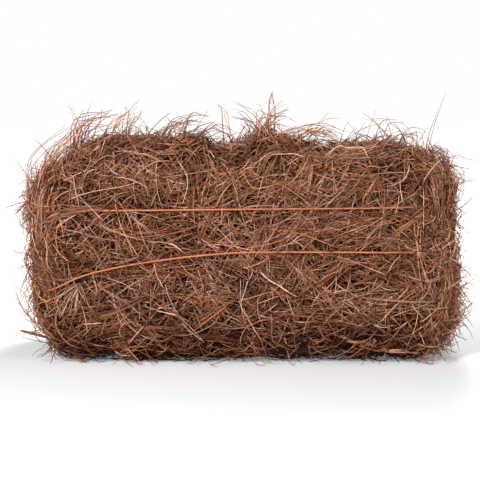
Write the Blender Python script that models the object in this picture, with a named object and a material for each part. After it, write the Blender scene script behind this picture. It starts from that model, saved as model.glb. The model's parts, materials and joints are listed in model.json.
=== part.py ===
"""A square bale of pine straw: dry needles pressed into one block and tied lengthwise with two loops of twine.

Metres, +Z up. The block lies on its flat underside with its length along X, and the face at -Y is the front.
The shapes are laid out around the block's own middle, and the whole set is then centred over the origin.
"""

import math
import random

import bmesh
import bpy
from mathutils import Vector, noise
from mathutils.bvhtree import BVHTree

# The pressed block, without the locks of needles on it.
LENGTH = 0.704
DEPTH = 0.346
HEIGHT = 0.348
EDGE_ROUND = 0.056
CELLS = (16, 8, 8)
LEFT_SHOULDER_DROP = 0.034
RIGHT_SHOULDER_DROP = 0.018
SHOULDER_REACH = 0.13
UNEVEN_BROAD = 0.012
UNEVEN_FINE = 0.007
# How closely the uneven places follow each other: higher is closer.
BROAD_WAVES = 8.0
FINE_WAVES = 21.0
FINE_OFFSET = Vector((3.1, 7.7, 1.9))
# The underside is flat, and the straw swells fully from this height up.
FOOT_HEIGHT = 0.05

# Swellings and hollows of the block: middle, how far the straw stands out there, and how wide the place is.
TOP = HEIGHT
FRONT = -DEPTH / 2
END = LENGTH / 2
FORMS = [
    ((-0.077, -0.11, TOP), 0.016, 0.045),
    ((0.036, -0.10, TOP), 0.015, 0.042),
    ((0.240, -0.08, TOP), 0.010, 0.050),
    ((-0.120, 0.09, TOP), 0.008, 0.070),
    ((-0.023, -0.13, TOP), -0.017, 0.032),
    ((0.165, -0.12, TOP), -0.020, 0.038),
    ((0.090, 0.10, TOP), -0.010, 0.060),
    ((-0.200, FRONT, 0.115), -0.008, 0.050),
    ((0.080, FRONT, 0.100), 0.009, 0.110),
    ((-0.120, FRONT, 0.060), -0.006, 0.060),
    ((-END, -0.05, 0.265), 0.009, 0.070),
    ((-END, -0.05, 0.120), -0.010, 0.065),
    ((END, -0.05, 0.240), -0.010, 0.060),
    ((END, -0.05, 0.105), 0.011, 0.060),
    ((-0.150, -FRONT, 0.120), 0.010, 0.090),
    ((0.180, -FRONT, 0.240), 0.008, 0.080),
]

# Twine: tight round the block, so its route is a list of places that is then pressed onto the straw.
TWINE_RADIUS = 0.0015
TWINE_STEPS = 36
TWINE_PROUD = 0.0008
BURIED = 0.006
TIGHTENING_ROUNDS = 30
CURVE_SAMPLES = 20
GROOVE_RADIUS = (TWINE_RADIUS + 0.0006) * math.sqrt(2)
# A curve's bevel resolution: 1 gives six sides and 0 gives four.
TWINE_SIDES_STEP = 1
GROOVE_SIDES_STEP = 0
KNOT_RADIUS = 0.0042
KNOT_HALF_LENGTH = 0.009
KNOT_AT_X = 0.05
TAIL_LENGTH = 0.060
TAIL_THINNING = 0.96
# For each length of a tail, how much of it goes sideways and how much goes down.
TAIL_SPREAD = 0.55
TAIL_FALL = 0.80
# Each place has its x, y and height, and how far the twine is buried there.
UPPER_ROUTE = [
    (-0.345, -0.09, 0.250, 0.0), (-0.310, -0.15, 0.252, BURIED), (-0.250, FRONT, 0.254, BURIED),
    (-0.194, FRONT, 0.255, 0.0), (0.000, FRONT, 0.257, 0.0), (0.150, FRONT, 0.258, 0.0),
    (0.232, FRONT, 0.259, 0.0), (0.286, FRONT, 0.260, BURIED), (0.325, -0.14, 0.261, BURIED),
    (0.345, -0.09, 0.262, 0.0), (0.345, 0.09, 0.264, 0.0), (0.290, -FRONT, 0.262, 0.0),
    (0.100, -FRONT, 0.260, 0.0), (-0.100, -FRONT, 0.255, 0.0), (-0.290, -FRONT, 0.251, 0.0),
    (-0.345, 0.09, 0.249, 0.0),
]
LOWER_ROUTE = [
    (-0.350, -0.07, 0.118, 0.0), (-0.342, -0.14, 0.118, BURIED), (-0.318, FRONT, 0.127, 0.0),
    (-0.265, FRONT, 0.150, 0.0), (-0.190, FRONT, 0.166, 0.0), (-0.100, FRONT, 0.179, 0.0),
    (-0.010, FRONT, 0.187, 0.0), (0.130, FRONT, 0.188, 0.0), (0.232, FRONT, 0.187, 0.0),
    (0.286, FRONT, 0.187, BURIED), (0.330, -0.14, 0.186, BURIED), (0.345, -0.09, 0.186, 0.0),
    (0.345, 0.09, 0.184, 0.0), (0.290, -FRONT, 0.183, 0.0), (0.080, -FRONT, 0.180, 0.0),
    (-0.120, -FRONT, 0.170, 0.0), (-0.270, -FRONT, 0.150, 0.0), (-0.345, 0.09, 0.130, 0.0),
]

# Locks: bundles of needles that lie raised on the block.
LOCK_LENGTH = (0.15, 0.25)
LOCK_WIDTH = (0.024, 0.040)
LOCK_HEIGHT = (0.006, 0.010)
LOCK_RINGS = 6
LOCK_SIDES = 6
LOCK_SUNK = 0.0015
LOCK_TIP_SUNK = 0.003
LOCK_STIFFNESS = 3.0
# Near the floor a lock turns up a little, so that it stays off the underside.
LOCK_LOWEST = 0.045
LOCK_TURN_UP = 0.15
# Where a twine crosses a lock, the lock is pressed in by this share of its height.
LOCK_PRESSED = 1.3
LOCK_SPACING = 0.13
CLEAR_OF_TWINE = (0.006, 0.030)

# Loose needles, and the socket that each stands in.
NEEDLE_RADIUS = 0.0009
SHEATH_RADIUS = 0.0014
ROOT_DEPTH = 0.012
# The sheath shows by this share of the depth, and leaves the straw at least this steeply.
SHEATH_SHOWS = 0.35
LEAST_STEEPNESS = 0.5
MENDED_STEEPNESS = 0.6
GAP = 0.0008

# Edges shorter than this, left by a cut, are closed up.
SMALLEST_EDGE = 0.00001

# The lay of the needles turns in a long wave, in degrees, and drifts from it.
LAY_WAVE = 42
LAY_WAVE_WAY = Vector((11, 5, 7))
LAY_DRIFT = 28
LAY_DRIFT_WAVES = 9.0
LAY_PULL = 3
# Places where the lay of the front's needles is plain: x, z, angle from the length, and reach.
FRONT_LAY = [
    (0.130, 0.325, 86, 0.045), (0.318, 0.200, 88, 0.040), (-0.332, 0.190, 84, 0.035),
    (0.170, 0.345, -8, 0.035), (0.057, 0.290, 40, 0.040), (-0.120, 0.290, 25, 0.050),
    (-0.200, 0.220, -30, 0.050), (0.010, 0.220, 55, 0.045), (0.220, 0.230, -50, 0.050),
    (-0.190, 0.110, -22, 0.070), (0.020, 0.110, 12, 0.080), (0.220, 0.100, -14, 0.080),
    (0.000, 0.040, 4, 0.120), (-0.280, 0.060, 30, 0.050), (0.280, 0.050, 25, 0.060),
]


def clear_scene():
    for old in list(bpy.data.objects):
        bpy.data.objects.remove(old, do_unlink=True)


def finish(name, colour, roughness):
    mat = bpy.data.materials.new(name)
    mat.use_nodes = True
    shader = mat.node_tree.nodes["Principled BSDF"]
    shader.inputs["Base Color"].default_value = (*colour, 1.0)
    shader.inputs["Roughness"].default_value = roughness
    shader.inputs["Metallic"].default_value = 0.0
    return mat


def to_object(bm, name, mat=None, collection=None):
    """Gives the mesh that bm holds an object of its own, with its faces pointing out."""
    bmesh.ops.recalc_face_normals(bm, faces=bm.faces[:])
    mesh = bpy.data.meshes.new(name)
    bm.to_mesh(mesh)
    bm.free()
    mesh.shade_smooth()
    mesh.set_sharp_from_angle(angle=math.radians(50))
    obj = bpy.data.objects.new(name, mesh)
    (collection or bpy.context.scene.collection).objects.link(obj)
    if mat:
        mesh.materials.append(mat)
    return obj


def as_helper(obj):
    obj.hide_render = True
    obj.display_type = "WIRE"


def smooth_rise(value, low, high):
    t = max(0.0, min(1.0, (value - low) / (high - low)))
    return t * t * (3 - 2 * t)


# The pressed block

def rounded(corner_point):
    """Moves a point of the plain block onto the block with rounded edges. Returns the point and the way out."""
    middle = Vector((0, 0, HEIGHT / 2))
    half = (LENGTH / 2, DEPTH / 2, HEIGHT / 2)
    local = corner_point - middle
    inner = Vector([max(EDGE_ROUND - h, min(h - EDGE_ROUND, c)) for c, h in zip(local, half)])
    out = (local - inner).normalized()
    return middle + inner + out * EDGE_ROUND, out


def swelling(point):
    """How far the straw stands out or in at a point of the rounded block."""
    amount = UNEVEN_BROAD * noise.noise(point * BROAD_WAVES)
    amount += UNEVEN_FINE * noise.noise(point * FINE_WAVES + FINE_OFFSET)
    for middle, rise, reach in FORMS:
        amount += rise * math.exp(-((point - Vector(middle)).length / reach) ** 2)
    return amount


def block_mesh():
    bm = bmesh.new()
    bmesh.ops.create_cube(bm, size=1.0)
    for axis, cells in enumerate(CELLS):
        along = [
            edge for edge in bm.edges
            if abs(abs(edge.verts[0].co[axis] - edge.verts[1].co[axis]) - 1.0) < 1e-6
        ]
        bmesh.ops.subdivide_edges(bm, edges=along, cuts=cells - 1, use_grid_fill=True)
    for vert in bm.verts:
        plain = Vector((vert.co.x * LENGTH, vert.co.y * DEPTH, (vert.co.z + 0.5) * HEIGHT))
        point, out = rounded(plain)
        underside = out.z < -0.999
        if not underside:
            point += out * swelling(point) * smooth_rise(point.z, 0.0, FOOT_HEIGHT)
            drop = LEFT_SHOULDER_DROP if point.x < 0 else RIGHT_SHOULDER_DROP
            along = smooth_rise(abs(point.x), END - SHOULDER_REACH, END)
            point.z -= drop * along * (point.z / HEIGHT) ** 2
        vert.co = point
    return bm


# Twine

def smooth_loop(places, count):
    """Evenly spaced points of a smooth closed curve through the places."""
    n = len(places)
    dense = []
    for i in range(n):
        p0, p1, p2, p3 = (Vector(places[(i + k - 1) % n]) for k in range(4))
        for step in range(CURVE_SAMPLES):
            t = step / CURVE_SAMPLES
            dense.append(0.5 * (
                2 * p1 + (p2 - p0) * t + (2 * p0 - 5 * p1 + 4 * p2 - p3) * t * t
                + (3 * p1 - p0 - 3 * p2 + p3) * t ** 3
            ))
    spans = [(dense[(i + 1) % len(dense)] - dense[i]).length for i in range(len(dense))]
    wanted = sum(spans) / count
    points, travelled, target = [], 0.0, 0.0
    for start, span in zip(dense, spans):
        if travelled >= target - 1e-9 and len(points) < count:
            points.append(start)
            target += wanted
        travelled += span
    return points


def depth_wanted(route, point):
    """How far out of the straw the twine lies near a point: the bury value of the nearest place of its route."""
    nearest = min(route, key=lambda place: (Vector(place[:3]) - point).length)
    return TWINE_PROUD - nearest[3]


def pulled_tight(surface, route, count):
    """A closed route drawn tight round the straw at its own heights. It stays outside, except where it is buried."""
    points = smooth_loop([place[:3] for place in route], 2 * count)
    wanted = [depth_wanted(route, point) for point in points]
    heights = [point.z for point in points]
    for _ in range(TIGHTENING_ROUNDS):
        for i, height in enumerate(heights):
            after = points[(i + 1) % len(points)]
            point = points[i] * 0.5 + (points[i - 1] + after) * 0.25
            point.z = height
            place, out, _, _ = surface.find_nearest(point)
            level = Vector((out.x, out.y, 0)).normalized()
            if (point - place).dot(out) < wanted[i]:
                point = Vector((place.x, place.y, height)) + level * wanted[i]
            points[i] = point
    return points[::2]


def tube_curve(name, points, radius, cyclic, fineness, widths=None):
    curve = bpy.data.curves.new(name, "CURVE")
    curve.dimensions = "3D"
    curve.bevel_depth = radius
    curve.bevel_resolution = fineness
    curve.use_fill_caps = not cyclic
    spline = curve.splines.new("POLY")
    spline.points.add(len(points) - 1)
    spline.use_cyclic_u = cyclic
    for i, point in enumerate(points):
        spline.points[i].co = (*point, 1.0)
        spline.points[i].radius = widths[i] if widths else 1.0
    return curve


def mesh_of_curve(curve, name, mat, collection):
    holder = bpy.data.objects.new(name + "_path", curve)
    bpy.context.scene.collection.objects.link(holder)
    bpy.context.view_layer.update()
    graph = bpy.context.evaluated_depsgraph_get()
    mesh = bpy.data.meshes.new_from_object(holder.evaluated_get(graph))
    bpy.data.objects.remove(holder, do_unlink=True)
    bm = bmesh.new()
    bm.from_mesh(mesh)
    bmesh.ops.remove_doubles(bm, verts=bm.verts[:], dist=1e-6)
    return to_object(bm, name, mat, collection)


def knot_tail(surface, knot, heading, beyond):
    """The points of one free end, which hangs from the knot down over the straw."""
    points = [knot]
    for share in (0.25, 0.5, 0.75, 1.0):
        reach = TAIL_LENGTH * share
        fall = Vector((heading * reach * TAIL_SPREAD, 0, -reach * TAIL_FALL))
        place, out, _, _ = surface.find_nearest(knot + fall)
        points.append(place + out * (TWINE_PROUD + TWINE_RADIUS / 2))
    points[-1] += (points[-1] - points[-2]).normalized() * beyond
    return points


def with_knot(points):
    """The loop's points with a knot put in at the back, and how wide the twine is at each."""
    at = max(range(len(points)), key=lambda i: points[i].y - abs(points[i].x - KNOT_AT_X) * 0.2)
    knot = points[at]
    along = (points[(at + 1) % len(points)] - points[at - 1]).normalized() * KNOT_HALF_LENGTH
    route = points[:at] + [knot - along, knot, knot + along] + points[at + 1:]
    widths = [KNOT_RADIUS / TWINE_RADIUS if point is knot else 1.0 for point in route]
    return route, widths, knot


def twine_piece(name, points, surface, radius, beyond, fineness, mat, collection):
    """One loop with its knot at the back, and the two ends left over from tying it."""
    route, widths, knot = with_knot(points)
    loop = mesh_of_curve(tube_curve(name, route, radius, True, fineness, widths), name, mat, collection)
    tails = bpy.data.collections.new(name + "_tails")
    for side, heading in (("left", -1.0), ("right", 1.0)):
        path = knot_tail(surface, knot, heading, beyond)
        tail = tube_curve(name + "_tail", path, radius * TAIL_THINNING, False, fineness)
        as_helper(mesh_of_curve(tail, name + "_tail_" + side, mat, tails))
    joined = loop.modifiers.new("tails", "BOOLEAN")
    joined.operation = "UNION"
    joined.solver = "EXACT"
    joined.operand_type = "COLLECTION"
    joined.collection = tails
    return loop


# Locks

def face_axes(out):
    """Two directions in the surface: level along the face, and up it. On the top, along X and along Y."""
    level = Vector((0, 0, 1)).cross(out)
    if level.length < 0.6:
        level = Vector((1, 0, 0)) - out * out.x
    level.normalize()
    return level, out.cross(level)


def lay_of_needles(point, out):
    """The way the needles run at a point of the surface."""
    angle = LAY_WAVE * math.sin(LAY_WAVE_WAY.dot(point)) + LAY_DRIFT * noise.noise(point * LAY_DRIFT_WAVES)
    cosine, sine, total = math.cos(math.radians(2 * angle)), math.sin(math.radians(2 * angle)), 1.0
    if out.y < -0.5:
        for x, z, plain_angle, reach in FRONT_LAY:
            share = LAY_PULL * math.exp(-((point.x - x) ** 2 + (point.z - z) ** 2) / reach ** 2)
            cosine += share * math.cos(math.radians(2 * plain_angle))
            sine += share * math.sin(math.radians(2 * plain_angle))
            total += share
    angle = math.atan2(sine / total, cosine / total) / 2
    level, up = face_axes(out)
    return level * math.cos(angle) + up * math.sin(angle)


def walk(surface, start, length, steps, sense):
    """Points over the straw from a start, following the lay of the needles one way."""
    place, out, _, _ = surface.find_nearest(start)
    heading = lay_of_needles(place, out) * sense
    track = []
    for _ in range(steps):
        lay = lay_of_needles(place, out)
        if lay.dot(heading) < 0:
            lay = -lay
        heading = (heading * LOCK_STIFFNESS + lay).normalized()
        heading = (heading - out * heading.dot(out)).normalized()
        if place.z < LOCK_LOWEST and heading.z < 0:
            heading.z = LOCK_TURN_UP
        place, out, _, _ = surface.find_nearest(place + heading * (length / steps))
        track.append((place, out))
    return track


def lock_of_needles(surface, twines, start, dice, collection):
    """A long raised bundle with pointed ends, sunk a little into the block."""
    length = dice.uniform(*LOCK_LENGTH)
    width = dice.uniform(*LOCK_WIDTH)
    height = dice.uniform(*LOCK_HEIGHT)
    half = LOCK_RINGS // 2
    place, out, _, _ = surface.find_nearest(start)
    back = walk(surface, place, length / 2, half, -1)
    ahead = walk(surface, place, length / 2, half, 1)
    track = back[::-1] + [(place, out)] + ahead
    bm = bmesh.new()
    rings = []
    for i in range(1, len(track) - 1):
        place, out = track[i]
        along = (track[i + 1][0] - track[i - 1][0]).normalized()
        side = along.cross(out).normalized()
        fullness = math.sin(math.pi * i / (len(track) - 1)) ** 0.6
        nearest = min((place - point).length for point in twines)
        free = smooth_rise(nearest, *CLEAR_OF_TWINE)
        middle = place - out * (LOCK_SUNK + (1 - free) * height * LOCK_PRESSED)
        ring = []
        for k in range(LOCK_SIDES):
            turn = 2 * math.pi * k / LOCK_SIDES
            offset = side * math.cos(turn) * width / 2 + out * math.sin(turn) * height
            ring.append(bm.verts.new(middle + offset * fullness))
        rings.append(ring)
    for ring, after in zip(rings, rings[1:]):
        for k in range(LOCK_SIDES):
            j = (k + 1) % LOCK_SIDES
            bm.faces.new((ring[k], ring[j], after[j], after[k]))
    for ring, (place, out) in ((rings[0], track[0]), (rings[-1], track[-1])):
        point = bm.verts.new(place - out * LOCK_TIP_SUNK)
        for k in range(LOCK_SIDES):
            bm.faces.new((ring[k], ring[(k + 1) % LOCK_SIDES], point))
    as_helper(to_object(bm, "lock", collection=collection))


def lock_starts(dice):
    """Places spread over the front, the back, the top and the two ends."""
    starts = []
    for row in range(3):
        for column in range(5):
            x = (column - 2 + dice.uniform(-0.3, 0.3)) * LOCK_SPACING
            z = 0.07 + row * 0.105 + dice.uniform(-0.02, 0.02)
            starts.append(Vector((x, FRONT, z)))
            starts.append(Vector((-x, -FRONT, z + 0.01)))
    for row in range(2):
        for column in range(5):
            x = (column - 2 + dice.uniform(-0.3, 0.3)) * LOCK_SPACING
            starts.append(Vector((x, (row - 0.5) * 0.17 + dice.uniform(-0.02, 0.02), TOP)))
    for side in (-1, 1):
        for z in (0.09, 0.26):
            starts.append(Vector((side * END, dice.uniform(-0.06, 0.06), z + dice.uniform(-0.02, 0.02))))
    return starts


# Loose needles

def smooth_path(places, rings):
    """Points from the first place to the last on a smooth open curve."""
    spots = [Vector(place) for place in places]
    spots = [spots[0] * 2 - spots[1]] + spots + [spots[-1] * 2 - spots[-2]]
    count = len(spots) - 3
    points = []
    for k in range(rings + 1):
        s = min(count * k / rings, count - 1e-9)
        i, t = int(s), s - int(s)
        p0, p1, p2, p3 = spots[i:i + 4]
        points.append(0.5 * (
            2 * p1 + (p2 - p0) * t + (2 * p0 - 5 * p1 + 4 * p2 - p3) * t * t
            + (3 * p1 - p0 - 3 * p2 + p3) * t ** 3
        ))
    return points


def grow_needle(bm, foot, points, side, radius):
    """Carries a needle on from the three corners of its foot, through the points, to a sharp tip."""
    last = foot
    for i in range(1, len(points) - 1):
        along = (points[i + 1] - points[i - 1]).normalized()
        across = (side - along * side.dot(along)).normalized()
        third = along.cross(across)
        thickness = radius * (1 - 0.45 * i / (len(points) - 1))
        ring = []
        for k in range(3):
            turn = math.radians(-30 + 120 * k)
            ring.append(bm.verts.new(
                points[i] + (across * math.cos(turn) + third * math.sin(turn)) * thickness
            ))
        for k in range(3):
            j = (k + 1) % 3
            bm.faces.new((last[k], last[j], ring[j], ring[k]))
        last = ring
    tip = bm.verts.new(points[-1])
    for k in range(3):
        bm.faces.new((last[k], last[(k + 1) % 3], tip))


def prism(bm, spokes, low, high, radius):
    """A plain rod with one corner on each spoke. Returns the corners of its two ends."""
    ends = [[bm.verts.new(place + spoke * radius) for spoke in spokes] for place in (low, high)]
    count = len(spokes)
    for k in range(count):
        j = (k + 1) % count
        bm.faces.new((ends[0][k], ends[0][j], ends[1][j], ends[1][k]))
    bm.faces.new(ends[0][::-1])
    return ends


def sheath_axes(root, leave, paths):
    """The way the sheath points, and the two directions across it. The needles part along the second."""
    along = (leave - root).normalized()
    apart = Vector(paths[0][0]) - Vector(paths[-1][0]) if len(paths) == 2 else along.orthogonal()
    apart = (apart - along * apart.dot(along)).normalized()
    return along, apart.cross(along).normalized(), apart


def needle_bundle(name, root, leave, paths, mat, collection):
    """One or two needles that grow from one short sheath."""
    _, side, apart = sheath_axes(root, leave, paths)
    bm = bmesh.new()
    _, high = prism(bm, (side, apart, -side, -apart), root, leave, SHEATH_RADIUS)
    rings = 4 if len(paths[0]) > 2 else 3
    lines = [smooth_path([leave] + path, rings) for path in paths]
    grow_needle(bm, high[:3], lines[0], side, NEEDLE_RADIUS)
    if len(paths) == 2:
        grow_needle(bm, [high[2], high[3], high[0]], lines[1], -side, NEEDLE_RADIUS)
    else:
        bm.faces.new((high[0], high[2], high[3]))
    return to_object(bm, name, mat, collection)


def needle_socket(name, root, leave, paths, collection):
    along, side, apart = sheath_axes(root, leave, paths)
    bm = bmesh.new()
    _, high = prism(bm, (side, apart, -side, -apart), root - along * GAP, leave, SHEATH_RADIUS + GAP)
    bm.faces.new(high)
    as_helper(to_object(bm, name, None, collection))


def bedded(surface, place, towards):
    """Where a loose piece that leaves towards a point starts, below the surface at the place."""
    spot, out, _, _ = surface.find_nearest(Vector(place))
    way = (Vector(towards) - spot).normalized()
    if way.dot(out) < LEAST_STEEPNESS:
        way = (way + out * (MENDED_STEEPNESS - way.dot(out))).normalized()
    return spot - way * ROOT_DEPTH, spot + way * ROOT_DEPTH * SHEATH_SHOWS


# Each loose bundle: where it leaves the straw, then the places that each of its needles goes through.
STRAYS = [
    ((0.036, -0.100, TOP), [[(0.039, -0.102, 0.408), (0.044, -0.104, 0.448), (0.050, -0.104, 0.422)]]),
    ((-0.250, -0.120, 0.34), [[(-0.274, -0.124, 0.404), (-0.298, -0.128, 0.438)]]),
    ((-0.283, -0.085, 0.33), [[(-0.262, -0.090, 0.410), (-0.241, -0.095, 0.441)], [(-0.275, -0.07, 0.40)]]),
    ((-0.264, -0.040, 0.34), [[(-0.262, -0.045, 0.390), (-0.264, -0.050, 0.426)]]),
    ((-0.197, -0.110, TOP), [[(-0.193, -0.112, 0.392), (-0.188, -0.118, 0.422)], [(-0.181, -0.10, 0.395)]]),
    ((-0.205, -0.050, TOP), [[(-0.186, -0.055, 0.392), (-0.164, -0.060, 0.416)]]),
    ((0.296, -0.110, 0.33), [[(0.304, -0.112, 0.380), (0.328, -0.116, 0.444)], [(0.288, -0.125, 0.386)]]),
    ((0.315, -0.100, 0.31), [[(0.350, -0.112, 0.318), (0.364, -0.120, 0.290), (0.349, -0.128, 0.262)]]),
    ((0.252, -0.070, TOP), [[(0.232, -0.076, 0.380), (0.194, -0.080, 0.412)]]),
    ((0.160, -0.030, TOP), [[(0.186, -0.036, 0.374), (0.232, -0.042, 0.399)], [(0.198, -0.01, 0.392)]]),
    ((0.280, -0.020, 0.34), [[(0.267, -0.025, 0.378), (0.243, -0.030, 0.404)]]),
    ((0.110, -0.120, TOP), [[(0.118, -0.124, 0.378), (0.142, -0.130, 0.402)]]),
    ((-0.020, -0.060, TOP), [[(-0.004, -0.066, 0.382), (0.014, -0.070, 0.398)], [(-0.034, -0.07, 0.392)]]),
    ((-0.120, -0.100, TOP), [[(-0.112, -0.104, 0.378), (-0.090, -0.110, 0.398)]]),
    ((-0.310, -0.060, 0.31), [[(-0.334, -0.066, 0.350), (-0.367, -0.072, 0.380)], [(-0.348, -0.05, 0.34)]]),
    ((-0.338, -0.110, 0.28), [[(-0.362, -0.116, 0.316), (-0.390, -0.122, 0.352)]]),
    ((-0.340, -0.050, 0.28), [[(-0.366, -0.054, 0.300), (-0.387, -0.058, 0.320)], [(-0.374, -0.07, 0.292)]]),
    ((-0.345, -0.100, 0.23), [[(-0.372, -0.104, 0.252), (-0.394, -0.108, 0.246)]]),
    ((-0.335, -0.120, 0.06), [[(-0.372, -0.128, 0.094), (-0.394, -0.134, 0.150)], [(-0.372, -0.11, 0.07)]]),
    ((-0.340, -0.030, 0.15), [[(-0.366, -0.032, 0.170), (-0.388, -0.034, 0.196)]]),
    ((0.345, -0.110, 0.15), [[(0.362, -0.116, 0.172), (0.372, -0.122, 0.204)], [(0.370, -0.10, 0.156)]]),
    ((0.345, -0.050, 0.10), [[(0.364, -0.054, 0.108), (0.376, -0.058, 0.128)], [(0.374, -0.04, 0.096)]]),
    ((0.340, -0.130, 0.06), [[(0.356, -0.136, 0.072), (0.366, -0.142, 0.096)]]),
    ((0.345, 0.060, 0.20), [[(0.366, 0.064, 0.222), (0.382, 0.068, 0.250)], [(0.372, 0.05, 0.20)]]),
    ((-0.345, 0.020, 0.20), [[(-0.370, 0.024, 0.214), (-0.388, 0.028, 0.240)], [(-0.374, 0.01, 0.20)]]),
    ((-0.300, 0.110, 0.32), [[(-0.318, 0.124, 0.352), (-0.336, 0.138, 0.390)]]),
    ((0.300, 0.100, 0.33), [[(0.318, 0.110, 0.362), (0.340, 0.120, 0.398)], [(0.300, 0.12, 0.38)]]),
    ((0.040, 0.080, TOP), [[(0.052, 0.086, 0.384), (0.076, 0.092, 0.408)], [(0.034, 0.10, 0.396)]]),
    ((-0.160, 0.060, TOP), [[(-0.172, 0.064, 0.386), (-0.196, 0.068, 0.412)]]),
    ((0.170, 0.110, TOP), [[(0.180, 0.128, 0.376), (0.196, 0.150, 0.400)]]),
    ((-0.210, 0.168, 0.28), [[(-0.222, 0.190, 0.306), (-0.240, 0.206, 0.334)], [(-0.206, 0.20, 0.30)]]),
    ((0.100, 0.170, 0.22), [[(0.112, 0.194, 0.236), (0.130, 0.206, 0.262)]]),
    ((-0.060, 0.170, 0.12), [[(-0.070, 0.194, 0.134), (-0.088, 0.208, 0.158)], [(-0.048, 0.20, 0.13)]]),
    ((0.240, 0.170, 0.11), [[(0.252, 0.192, 0.120), (0.272, 0.204, 0.140)]]),
    ((-0.100, FRONT, 0.22), [[(-0.112, -0.194, 0.234), (-0.130, -0.206, 0.262)]]),
    ((0.200, FRONT, 0.12), [[(0.212, -0.194, 0.132), (0.232, -0.208, 0.154)], [(0.196, -0.20, 0.14)]]),
]

# Litter that lies in the straw: where it leaves the straw, where it points, length, width and thickness.
LITTER = {
    "bark_flake": ((-0.236, -0.140, 0.335), (-0.238, -0.143, 0.400), 0.046, 0.013, 0.0018),
    "dry_leaf_bit": ((-0.104, -0.070, TOP), (-0.094, -0.084, 0.400), 0.044, 0.014, 0.0014),
    "cone_scale": ((0.212, -0.150, 0.045), (0.222, -0.230, 0.052), 0.030, 0.014, 0.0026),
}
FLAKE_CURL = 0.10
TWIG_ROOT = (-0.332, -0.100, 0.040)
TWIG_TIP = (-0.372, -0.118, 0.050)
TWIG_RADIUS = 0.0026


def flake(name, place, towards, size, swell, surface, mat, collection):
    """A thin bit with a pointed end, bedded in the straw by its wide end and curled a little."""
    length, width, thickness = size
    root, onward = bedded(surface, place, towards)
    along = (onward - root).normalized()
    across = along.cross(Vector((0, 1, 0)))
    if across.length < 0.3:
        across = along.cross(Vector((1, 0, 0)))
    across.normalize()
    through = along.cross(across)
    bm = bmesh.new()
    rings = []
    for share, wide in ((0.0, 0.55), (0.3, 0.95), (0.58, 1.0), (0.82, 0.6)):
        curl = through * (length * FLAKE_CURL * math.sin(math.pi * share))
        middle = root + along * (length * share - (swell if share == 0 else 0)) + curl
        w = width / 2 * wide + swell
        t = thickness / 2 + swell
        rings.append([
            bm.verts.new(middle + across * w), bm.verts.new(middle + through * t),
            bm.verts.new(middle - across * w), bm.verts.new(middle - through * t),
        ])
    bm.faces.new(rings[0][::-1])
    for ring, after in zip(rings, rings[1:]):
        for k in range(4):
            j = (k + 1) % 4
            bm.faces.new((ring[k], ring[j], after[j], after[k]))
    tip = bm.verts.new(root + along * length)
    for k in range(4):
        bm.faces.new((rings[-1][k], rings[-1][(k + 1) % 4], tip))
    return to_object(bm, name, mat, collection)


def twig(name, swell, surface, mat, collection):
    root, onward = bedded(surface, TWIG_ROOT, TWIG_TIP)
    along = (onward - root).normalized()
    side = along.orthogonal().normalized()
    third = along.cross(side)
    tip = Vector(TWIG_TIP)
    bm = bmesh.new()
    rings = []
    for share, wide in ((0.0, 1.0), (0.55, 1.0), (0.62, 1.35), (0.72, 0.9), (1.0, 0.75)):
        middle = root.lerp(tip, share) - along * (swell if share == 0 else 0)
        ring = []
        for k in range(6):
            turn = math.radians(60 * k)
            spoke = side * math.cos(turn) + third * math.sin(turn)
            ring.append(bm.verts.new(middle + spoke * (TWIG_RADIUS * wide + swell)))
        rings.append(ring)
    bm.faces.new(rings[0][::-1])
    bm.faces.new(rings[-1])
    for ring, after in zip(rings, rings[1:]):
        for k in range(6):
            j = (k + 1) % 6
            bm.faces.new((ring[k], ring[j], after[j], after[k]))
    return to_object(bm, name, mat, collection)


def cut_or_join(obj, operation, others):
    """Joins or cuts the objects of a collection, keeps the result as the object's mesh, and fills shut-in bubbles."""
    step = obj.modifiers.new(operation.lower(), "BOOLEAN")
    step.operation = operation
    step.solver = "EXACT"
    step.use_self = operation == "UNION"
    step.operand_type = "COLLECTION"
    step.collection = others
    bpy.context.view_layer.update()
    graph = bpy.context.evaluated_depsgraph_get()
    bm = bmesh.new()
    bm.from_mesh(bpy.data.meshes.new_from_object(obj.evaluated_get(graph)))
    obj.modifiers.clear()
    bmesh.ops.triangulate(bm, faces=bm.faces[:])
    bmesh.ops.remove_doubles(bm, verts=bm.verts[:], dist=SMALLEST_EDGE)
    bmesh.ops.dissolve_degenerate(bm, edges=bm.edges[:], dist=SMALLEST_EDGE)
    bmesh.ops.triangulate(bm, faces=bm.faces[:])
    keep_largest_shell(bm)
    bm.to_mesh(obj.data)
    return bm


def keep_largest_shell(bm):
    """Deletes every shell but the largest. Faces belong together where just two of them share an edge."""
    waiting = set(bm.faces)
    shells = []
    while waiting:
        shell, rim = [], [waiting.pop()]
        while rim:
            face = rim.pop()
            shell.append(face)
            for edge in face.edges:
                for other in edge.link_faces:
                    if other in waiting and len(edge.link_faces) == 2:
                        waiting.discard(other)
                        rim.append(other)
        shells.append(shell)
    shells.sort(key=len)
    for shell in shells[:-1]:
        bmesh.ops.delete(bm, geom=shell, context="FACES")


def centre_over_origin(pieces):
    """Moves every object by the same amount, so that the box of the visible pieces is centred over the origin."""
    bpy.context.view_layer.update()
    corners = [piece.matrix_world @ Vector(corner) for piece in pieces for corner in piece.bound_box]
    shift = Vector([
        -(min(c[axis] for c in corners) + max(c[axis] for c in corners)) / 2 for axis in (0, 1)
    ] + [0.0])
    for obj in bpy.data.objects:
        obj.location += shift


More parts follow.
